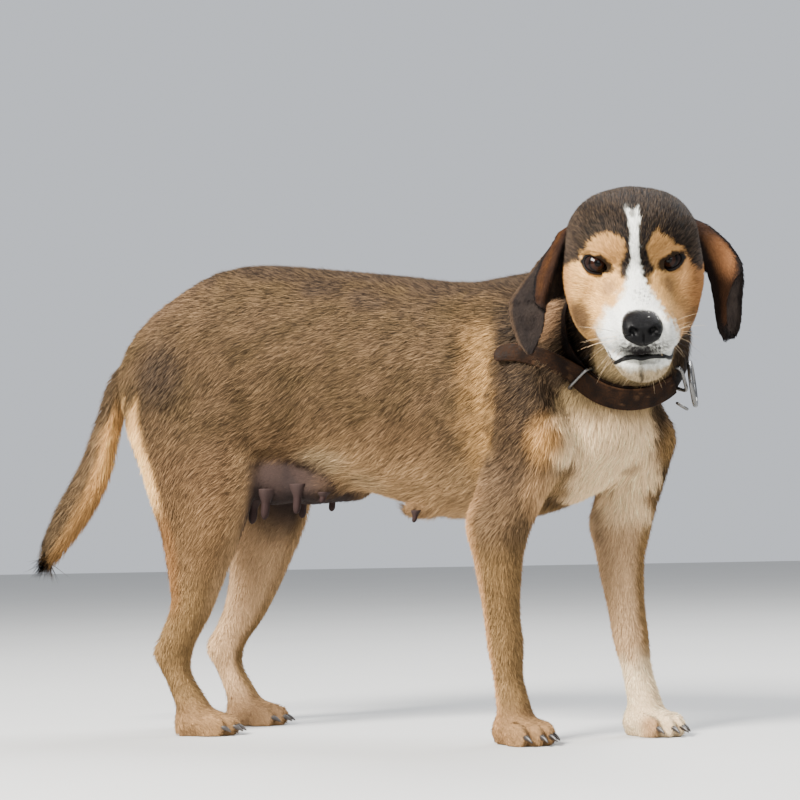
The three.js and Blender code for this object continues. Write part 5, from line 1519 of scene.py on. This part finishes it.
def leather_tint(points, x, half):
    """dark brown leather, rubbed paler along its edges and in scuffs"""
    c = lay(tone(52, 35, 23), tone(26, 17, 12), 0.5 + 0.5 * wobble(points, 16, 41))
    rubbed = between(np.abs(x) / half, 0.86, 1.0) * (0.35 + 0.3 * wobble(points, 9, 42))
    scuffs = between(wobble(points, 5.5, 43) * wobble(points, 21, 44), 0.55, 0.9)
    return lay(lay(c, tone(96, 70, 50), rubbed), tone(110, 84, 62), scuffs * 0.5)


steps = 176                           # round the band
deg = np.arange(steps) * 360 / steps
across, out = strap_frame(deg)
buckled = 0.35 * np.sin(rad(deg * 5 + 20)) + 0.2 * np.sin(rad(deg * 11))
sec = strap_outline(STRAP_WIDTH, STRAP_THICKNESS)
pts, faces = swept(on_ring(deg, 0.5 + buckled), across, out, sec, True)
x_across = np.tile(sec[:, 0], steps)
# the band is painted much darker than the tongue: painted shade on the same leather
add_piece("collar_band_strap", pts, faces, LEATHER, "collar_leather", ["collar_band"],
          leather_tint(pts, x_across, HALF_STRAP) * np.array([0.42, 0.34, 0.30]))


def tongue_rows():
    """Stations of the strap's free end: over the band from the buckle to the keeper,
    then straight to its tip with a bulge 4t(1-t) and a swing sin(pi t), tapering by 30
    percent to a rounded nose."""
    deg = np.arange(BUCKLE_AT - 10, KEEPER_AT - 6.5, -4.0)
    a, o = strap_frame(deg)
    c = on_ring(deg, np.full(len(deg), STRAP_THICKNESS + 1.0))
    w = np.full(len(deg), TONGUE_WIDTH)
    start, tip, bend = c[-1], np.array([162.0, -116, 363]), np.array([202.0, -113, 356])
    away = unit(start - c[-2])
    reach = np.linalg.norm(tip - start)
    nose = 0.9 + 0.1 * np.sin(np.linspace(0.1, np.pi / 2, 12))
    t = np.concatenate([np.linspace(0.04, 0.9, 26), nose])
    tt = t[:, None]
    line = start * (1 - tt) + tip * tt
    bulge = (bend - (start + tip) / 2) * 4 * tt * (1 - tt)
    centre = line + bulge * 0.7 + away * reach * 0.12 * np.sin(np.pi * tt)
    flat = unit(a[-1] * (1 - tt) + np.array([0.1, 0.27, 0.96]) * tt)
    face = unit(np.cross(flat, unit(tip - start)[None]))
    face = face * np.sign(face @ o[-1])[:, None]
    width = TONGUE_WIDTH * (1 - 0.3 * t)
    width = width * np.where(t > 0.9, np.sqrt(np.clip(1 - ((t - 0.9) / 0.1) ** 2, 0.02, 1)), 1)
    return np.vstack([c, centre]), np.vstack([a, flat]), np.vstack([o, face]), np.r_[w, width]


c, a, o, w = tongue_rows()
sec = strap_outline(TONGUE_WIDTH, TONGUE_THICKNESS)
outline = np.repeat(sec[None], len(c), 0)
outline[..., 0] *= (w / TONGUE_WIDTH)[:, None]
pts, faces = swept(c, a, o, outline)
x_across = np.r_[np.tile(sec[:, 0], len(c)), 0, 0]
# the tongue is painted lighter and warmer than the band: painted light on the same leather
add_piece("collar_tongue_strap", pts, faces, LEATHER, "collar_leather", ["collar_tongue"],
          leather_tint(pts, x_across, TONGUE_WIDTH / 2) * np.array([1.35, 1.15, 0.95]))


def hoop(deg, half_width, inner, outer, bar, steps=96, sides=14):
    """A round bar bent about the strap: its path is a rounded rectangle
    (|cos|^0.4, |sin|^0.4) in the strap's across and out directions."""
    deg = np.array(float(deg))
    mid = on_ring(deg, np.array((inner + outer) / 2))
    a, o = strap_frame(deg)
    run = np.cross(a, o)
    t = np.arange(steps) * 2 * np.pi / steps
    tall = (outer - inner) / 2
    cos, sin = np.cos(t)[:, None], np.sin(t)[:, None]
    c, s = (np.sign(w) * np.abs(w) ** 0.4 for w in (cos, sin))
    centre = mid + c * half_width * a + s * tall * o
    away = unit(cos / half_width * a + sin / tall * o)
    return swept(centre, away, np.tile(run, (steps, 1)), ring_outline(sides, bar, bar), True)


def loop(centre, axis, radius, bar, steps=96, sides=16):
    """A ring: a round profile carried round a circle about an axis."""
    n = unit(np.array(axis, float))
    x = unit(np.cross(n, [0.3, 0.2, 0.9]))
    y = np.cross(n, x)
    t = np.arange(steps)[:, None] * 2 * np.pi / steps
    away = np.cos(t) * x + np.sin(t) * y
    return swept(np.array(centre, float) + away * radius, away, np.tile(n, (steps, 1)),
                 ring_outline(sides, bar, bar), True)


for name, (pts, faces), node in (
        ("collar_keeper_wire", hoop(KEEPER_AT, HALF_STRAP + 2.6, -4.6, 10, 1.3), "collar_keeper"),
        ("collar_buckle_frame", hoop(BUCKLE_AT, HALF_STRAP + 3.4, -5.2, 10.4, 1.8),
         "collar_buckle"),
        ("collar_big_ring", loop((331, -47, 330), (0.93, 0.30, 0.1), 20, 2.3), "collar_ring"),
        ("collar_link", loop((326, -62, 309), (0.5, 0.2, 0.84), 5.5, 1.3, 48, 12),
         "collar_small_ring")):
    add_piece(name, pts, faces, STEEL, "collar_steel", [node])


# -------------------------------------------------------------------- the coat
def roots(points, quads, normals, density, seed):
    """Places for tufts: so many for each face as its area times the density, spread over
    it by two irrational steps so that they neither line up nor bunch."""
    g = np.random.default_rng(seed)
    a, b, c, d = (points[quads[:, k]] for k in range(4))
    area = np.linalg.norm(np.cross(c - a, d - b), axis=1) / 2
    n = np.floor(area * density + g.random(len(area))).astype(int)
    face = np.repeat(np.arange(len(quads)), n)
    k = np.arange(len(face))
    u = ((k * 0.7548776662 + g.random()) % 1)[:, None]
    v = ((k * 0.5698402910 + g.random()) % 1)[:, None]
    shares = ((1 - u) * (1 - v), u * (1 - v), u * v, (1 - u) * v)
    place, normal = (sum(w[quads[face, k]] * share for k, share in enumerate(shares))
                     for w in (points, normals))
    return place, unit(normal), face


def tufts(name, root, normal, lie_dir, size, half, rise, low, high, chart, seed, field=True,
          slot="body_coat"):
    """Fine tufts as closed three-sided spikes: a triangle across the root, sunk under
    the skin, drawn out along the lie of the coat to one tip, which is then moved on to
    its height over the skin. Each has its own patch of the coat's map."""
    g = np.random.default_rng(seed)
    n = len(root)
    side = np.cross(normal, lie_dir)
    comb = wobble(root, 7.5, 51)[:, None] * 0.16 + wobble(root, 3.2, 52)[:, None] * 0.12
    go = unit(lie_dir + side * (comb + g.normal(size=(n, 1)) * 0.10))
    side = np.cross(normal, go)
    tip = root + go * size[:, None] + normal * rise[:, None]
    if field:
        for _ in range(2):
            tip = tip + normal * (rise - whole_skin(tip))[:, None] * 0.8
    base = root - normal * ROOT_SUNK
    tip[:, 2] = np.maximum(tip[:, 2], TUFT_FLOOR + 0.2)
    w = half[:, None]
    p = np.stack([base + side * w - normal * 0.2, base - side * w - normal * 0.2,
                  base + normal * 0.65 + go * w * 0.5, tip], 1)
    p[..., 2] = np.maximum(p[..., 2], TUFT_FLOOR)
    idx = np.arange(n)[:, None] * 4
    faces = np.concatenate([idx + np.array([side_of]) for side_of in (
        (0, 1, 2), (1, 0, 3), (0, 2, 3), (2, 1, 3))])
    d = np.cross(p[:, 1] - p[:, 0], p[:, 2] - p[:, 0])
    if (dotp(d, p[:, 3] - p[:, 0]) > 0).mean() > 0.5:
        faces = faces[:, ::-1]
    tint = np.stack([low, low, low, high], 1).reshape(-1, 3)
    lean = np.stack([side * 0.55, -side * 0.55, 0 * side, go * 0.15], 1)
    shade = unit(normal[:, None] + lean + g.normal(size=(n, 1, 3)) * 0.17).reshape(-1, 3)
    uv = chart[:, None] + np.array([[-1, -1], [1, -1], [0, 0], [0, 1]])[None] * MAP_PATCH
    add_piece(name, p.reshape(-1, 3), faces, HAIR, slot, (), tint,
              uv=("OFBake", uv.reshape(-1, 2)), shade=shade)


def unwrap(p, path):
    """A map of a part's own shape: across it the angle about its middle line, along it
    the distance down that line, each scaled to the part and kept within 0.02 to 0.98."""
    path = smooth_rows(path, 6)
    near = np.stack([((p - c) ** 2).sum(1) for c in path], 1).argmin(1)
    along = unit(np.gradient(path, axis=0))[near]
    off = p - path[near]
    reach = np.concatenate([[0], np.cumsum(np.linalg.norm(np.diff(path, axis=0), axis=1))])
    run = reach[near] + dotp(off, along)
    ref = np.where(np.abs(along[:, 2:]) > 0.8, [[1.0, 0, 0]], [[0, 0, 1.0]])
    a = unit(ref - dotp(ref, along)[:, None] * along)
    b = np.cross(along, a)
    turn = np.arctan2(dotp(off, b), dotp(off, a)) / (2 * np.pi) + 0.5
    run = (run - run.min()) / max(np.ptp(run), 1e-6)
    span = (turn - turn.min()) / max(np.ptp(turn), 1e-6)
    return np.stack([span, run], -1) * 0.96 + 0.02


def strands(p, along, size, reach, seed):
    """an uneven field of about unit spread, drawn out along the lie of the coat: the
    mean of five wobbles at steps along it"""
    return sum(wobble(p + along * k, size, seed) for k in np.linspace(-reach, reach, 5)) / 2.1


SPARSE = 1.0
centre = skin_points[skin_quads].mean(1)
faceward = unit(skin_normals[skin_quads].sum(1))
r_head, r_tail, r_leg, r_paw, r_udder = regions(centre)
density = moved(0.52, (0.58, r_leg), (0.80, r_paw), (1.22, r_head), (0.70, r_tail))
density *= 1 - 0.86 * r_udder * (1 - between(centre[:, 2], *UDDER_TOP))
density *= np.where((centre[:, 2] < 2.5) & (faceward[:, 2] < -0.6), 0, 1)
q = in_head(centre)
density *= between(np.linalg.norm((q - (88, NOSE_L, NOSE_U)) / (18, 17.5, 15.5), axis=1), 0.9, 1.0)
for s in (1, -1):
    c, ax = eye_frame(s)
    o = (centre - c) @ ax.T
    lateral = np.hypot(o[:, 1] / 15.5, o[:, 2] / 12.5)
    density *= np.where((lateral < 1) & (np.abs(o[:, 0]) < 26), 0, 1)
place, normal, _face = roots(skin_points, skin_quads, skin_normals, density * SPARSE, 11)
hair_lie = lie(place, normal)
r_head, r_tail, r_leg, r_paw, r_udder = regions(place)
g = np.random.default_rng(12)
count = len(place)
depth = coat_depth(place)
bare = r_udder * (1 - between(place[:, 2], *UDDER_TOP))
x, y, z = place.T
h = in_head(place)
haunch = between(-x, 150, 190) * (1 - between(z, 372, 396))
haunch = haunch * between(-normal @ HIND_AHEAD, 0.2, 0.8)
fringe = between(-normal[:, 2], 0.1, 0.7) * between(z, 170, 205) * (1 - bare)
fringe = fringe * (1 - between(x, 110, 150))
fringe = np.maximum(fringe, spot(place, (-64, -44, 280), (34, 22, 12), 0.4))
chest = spot(place, *CHEST)
ruff = np.maximum(spot(place, (226, -88, 384), (30, 22, 40), 0.5),
                  spot(place, (300, -24, 384), (34, 30, 44), 0.5))
ruff = ruff * (1 - between(r_head, 0.25, 0.6))
crown = r_head * between(h[:, 2], 6, 26)
temple = r_head * between(np.abs(h[:, 1]), 36, 50) * between(h[:, 2], -48, -20)
temple = temple * (1 - between(h[:, 2], 12, 30))
chin_hair = (1 - between(h[:, 2], -92, -78)) * (1 - between(np.abs(h[:, 1]), 34, 44))
chin_hair = chin_hair * between(h[:, 0], -60, -20) * r_head
length = moved(10.5, (7.0, r_leg), (4.4, r_paw), (3.9, r_head), (19.0, r_tail))
length += 7 * haunch + 8 * fringe + 4 * chest * (1 - r_head) + 12 * ruff + 6 * chin_hair
length += 1.6 * crown + 2.4 * temple
length *= 1 - 0.35 * r_head * between(h[:, 0], 20, 70)
length *= 1 - 0.55 * bare
length *= 1 + 0.2 * r_tail * between(-x, 380, 400)
length *= g.uniform(0.65, 1.25, count)
colour, grizzle = markings(place + hair_lie * (0.5 * length)[:, None], normal)
half = moved(0.47, (0.40, r_leg), (0.32, np.maximum(r_head, r_paw)), (0.46, r_tail))
half *= g.uniform(0.75, 1.25, count)
drawn = strands(place, hair_lie, 2.6, 2.0, 61)
clump = wobble(place, 17, 62)
rise = depth * (0.80 + 0.06 * drawn + g.uniform(-0.17, 0.17, count))
stray = g.random(count) < STRAYS
rise = np.where(stray, depth * 1.05 + g.uniform(0.3, 1.6, count) * (1 - 0.6 * r_head), rise)
rise = rise + haunch * 1.2 + fringe * 1.2 + ruff * 7.0 + crown * 2.3 + temple * 2.6
rise = rise + chin_hair * 1.5
# banded hairs: dark or pale tips where the coat is grizzled, gathered into fine streaks
pick = 0.5 + 0.05 * drawn + 0.04 * clump + g.uniform(-0.46, 0.46, count)
light = np.exp(g.normal(size=count) * 0.18)[:, None]
band_dark = colour * (1 - 0.62 * grizzle)[:, None]
band_pale = lay(colour * (1 + 0.55 * grizzle)[:, None], tone(190, 166, 134), 0.16 * grizzle)
tip_tint = np.where((pick < DARK_TIPS)[:, None], band_dark,
                    np.where((pick > PALE_TIPS)[:, None], band_pale, colour))
# each tuft is painted darker at its root, as painted shade deep in the coat, and lighter at its
# tip so that the mean stays near the colour
high = np.clip(tip_tint * light * 1.15, 0, 1)
low = np.clip(lay(tip_tint, colour, np.full(count, 0.6)) * light * 0.62, 0, 1)

PATHS = {
    "head": head(np.array([-80, -40, 0, 40, 80.0]), 0, np.array([0, 0, -20, -40, -40.0])),
    "trunk": [at(s, 0, 350) for s in (-430, -330, -230, -130, -30, 60)],
    "neck": [at(20, 0, 350), (210, -30, 340), (262, -50, 350), (290, -90, 390)],
    "tail": [t[:3] for t in TAIL],
    "fore_right": [(170, -88, 270), (146, -84, 160), (150, -84, 70), (180, -96, 8)],
    "fore_left": [(240, 20, 270), (223, 28, 160), (232, 28, 70), (264, 20, 8)],
    "hind_right": [(-200, -66, 330), (-193, -71, 210), (-234, -64, 90), (-190, -60, 8)],
    "hind_left": [(-208, 50, 330), (-203, 64, 200), (-250, 61, 88), (-206, 64, 8)]}
part = np.full(count, "trunk", dtype=object)
part[x > 150] = "neck"
low_fore = (z < 262) & (x > 60)
low_hind = (z < 345) & (x < -110) & (np.abs(y) > 22)
part[low_fore & (y < -22) & (x < 235)] = "fore_right"
part[low_fore & ((y >= -22) | (x >= 235)) & (z < 235)] = "fore_left"
part[low_hind & (y < 0)] = "hind_right"
part[low_hind & (y > 0)] = "hind_left"
part[(x < -110) & (z < 190) & (y < 0)] = "hind_right"
part[(x < -110) & (z < 190) & (y > 0)] = "hind_left"
part[r_tail > 0.5] = "tail"
part[r_head > 0.5] = "head"
MOST_TUFTS = 48000                    # in one piece, which keeps it under 200,000 triangles
total = 0
for key, path in PATHS.items():
    members = np.nonzero(part == key)[0]
    order = h[:, 0] if key == "head" else z if "_" in key else x
    members = members[np.argsort(order[members])]
    for i, m in enumerate(np.array_split(members, -(-len(members) // MOST_TUFTS))):
        slot = "face_coat" if key == "head" else "leg_coat" if "_" in key else "body_coat"
        tufts(f"coat_{key}_{i + 1}", place[m], normal[m], hair_lie[m], length[m], half[m], rise[m],
              low[m], high[m], unwrap(place[m], path), 100 + total, slot=slot)
        total += 1


def sheet_coat(name, p, n, tint, grizzle, go, density, size, half, rise, seed, keep=None):
    """Tufts over a grid of points, such as an ear or the lids, lying along a direction
    given at each point; its map is the grid's own two distances."""
    rows, cols = p.shape[:2]
    q = sheet_faces(rows, cols, False, keep is not None)
    place, normal, face = roots(p.reshape(-1, 3), q, n.reshape(-1, 3), density * SPARSE, seed)
    pick = q[face, 0]
    if keep is not None:
        ok = keep.ravel()[pick] > 0.5
        place, normal, pick = place[ok], normal[ok], pick[ok]
    colour, direction = tint.reshape(-1, 3)[pick], go.reshape(-1, 3)[pick]
    grizzle = grizzle.ravel()[pick]
    g = np.random.default_rng(seed + 1)
    many = len(place)
    light = np.exp(g.normal(size=many) * 0.14)[:, None]
    direction = unit(direction - dotp(direction, normal)[:, None] * normal)
    high = colour * (1 + 0.5 * grizzle * (g.random(many) > 0.65))[:, None]
    chart = np.stack([pick % cols / cols, pick // cols / rows], -1) * 0.9 + 0.05
    # the roots are painted darker than the tips here too, as painted shade deep in the coat
    tufts(name, place, normal, direction, size * g.uniform(0.6, 1.3, many),
          half * g.uniform(0.8, 1.2, many), rise * g.uniform(0.5, 1.3, many),
          np.clip(colour * light * 0.75, 0, 1), np.clip(high * light * 1.1, 0, 1),
          chart, seed + 2, field=False, slot="ear_coat" if "ear" in name else "face_coat")


# the coats on the two root panels carry the panels' painted shade
for sheet, label in zip(EARS, ("right", "left", "right_root_shade", "left_root")):
    for k, letter in enumerate("ab"):
        p, n, tint, grizzle = (values[k] for values in sheet)
        sheet_coat(f"coat_ear_{label}_{letter}", p, n, tint, grizzle, np.gradient(p, axis=0),
                   0.95, 4.4, 0.36, 0.9, 300 + k)
for (p, n, tint, dark), label in zip(LIDS, ("right", "left")):
    away = in_head(p.reshape(-1, 3)) - FACE_CENTRE
    go = (unit(away) @ HEAD_AXES).reshape(p.shape)
    sheet_coat(f"coat_lids_{label}", p, n, tint, 0 * dark, go, 1.7, 3.0, 0.3, 0.8, 320, 1 - dark)

# --------------------------------------------------------------- floor, light, camera
floor_mesh = bpy.data.meshes.new("floor")
floor_mesh.from_pydata([(-9, -9, 0), (9, -9, 0), (9, 9, 0), (-9, 9, 0)], [], [(0, 1, 2, 3)])
floor_mesh.materials.append(hide("pale floor", 0.75, 3.0, 0.02, 0.001, 0.985, 1.015,
                                 colour=(0.47, 0.47, 0.46), specular=0.2))
floor = bpy.data.objects.new("floor", floor_mesh)
bpy.context.collection.objects.link(floor)

world = bpy.data.worlds.new("studio")
world.use_nodes = True
preset(world.node_tree.nodes["Background"], {"Color": (0.86, 0.90, 0.97, 1), "Strength": 0.8})
bpy.context.scene.world = world


def lamp(name, place, aim, size, power, colour=(1, 1, 1)):
    """a square soft light aimed at a point"""
    data = bpy.data.lights.new(name, "AREA")
    data.size, data.energy, data.color = size, power, colour
    obj = bpy.data.objects.new(name, data)
    obj.location = place
    obj.rotation_euler = (Vector(aim) - Vector(place)).to_track_quat("-Z", "Y").to_euler()
    bpy.context.collection.objects.link(obj)


lamp("key", (-0.7, -2.9, 2.5), (0.05, -0.1, 0.28), 1.2, 720, (1.0, 0.965, 0.91))
lamp("fill", (2.6, -2.2, 1.5), (0.1, -0.1, 0.25), 1.8, 58, (0.95, 0.97, 1.0))
lamp("top", (0.6, 1.6, 2.8), (0, 0, 0.3), 1.6, 160, (0.97, 0.98, 1.0))

LENS, SENSOR_WIDTH = 112.5, 36.0
camera_away = np.array([-CAMERA_RIGHT[1], CAMERA_RIGHT[0], 0])
pitch, roll = rad(2.908), rad(1.5)
view_dir = camera_away * np.cos(pitch) + np.array([0, 0, np.sin(pitch)])
view_up = np.cross(CAMERA_RIGHT, view_dir)
right = CAMERA_RIGHT * np.cos(roll) - view_up * np.sin(roll)
upward = np.cross(right, view_dir)
camera_data = bpy.data.cameras.new("camera")
camera_data.lens, camera_data.sensor_width = LENS, SENSOR_WIDTH
camera_data.clip_start, camera_data.clip_end = 0.1, 60
camera = bpy.data.objects.new("camera", camera_data)
camera_at = (CAMERA_PLACE + SHIFT) / 1000
camera.matrix_world = Matrix([*np.stack([right, upward, -view_dir, camera_at], 1).tolist(),
                              [0, 0, 0, 1]])
bpy.context.collection.objects.link(camera)
bpy.context.scene.camera = camera
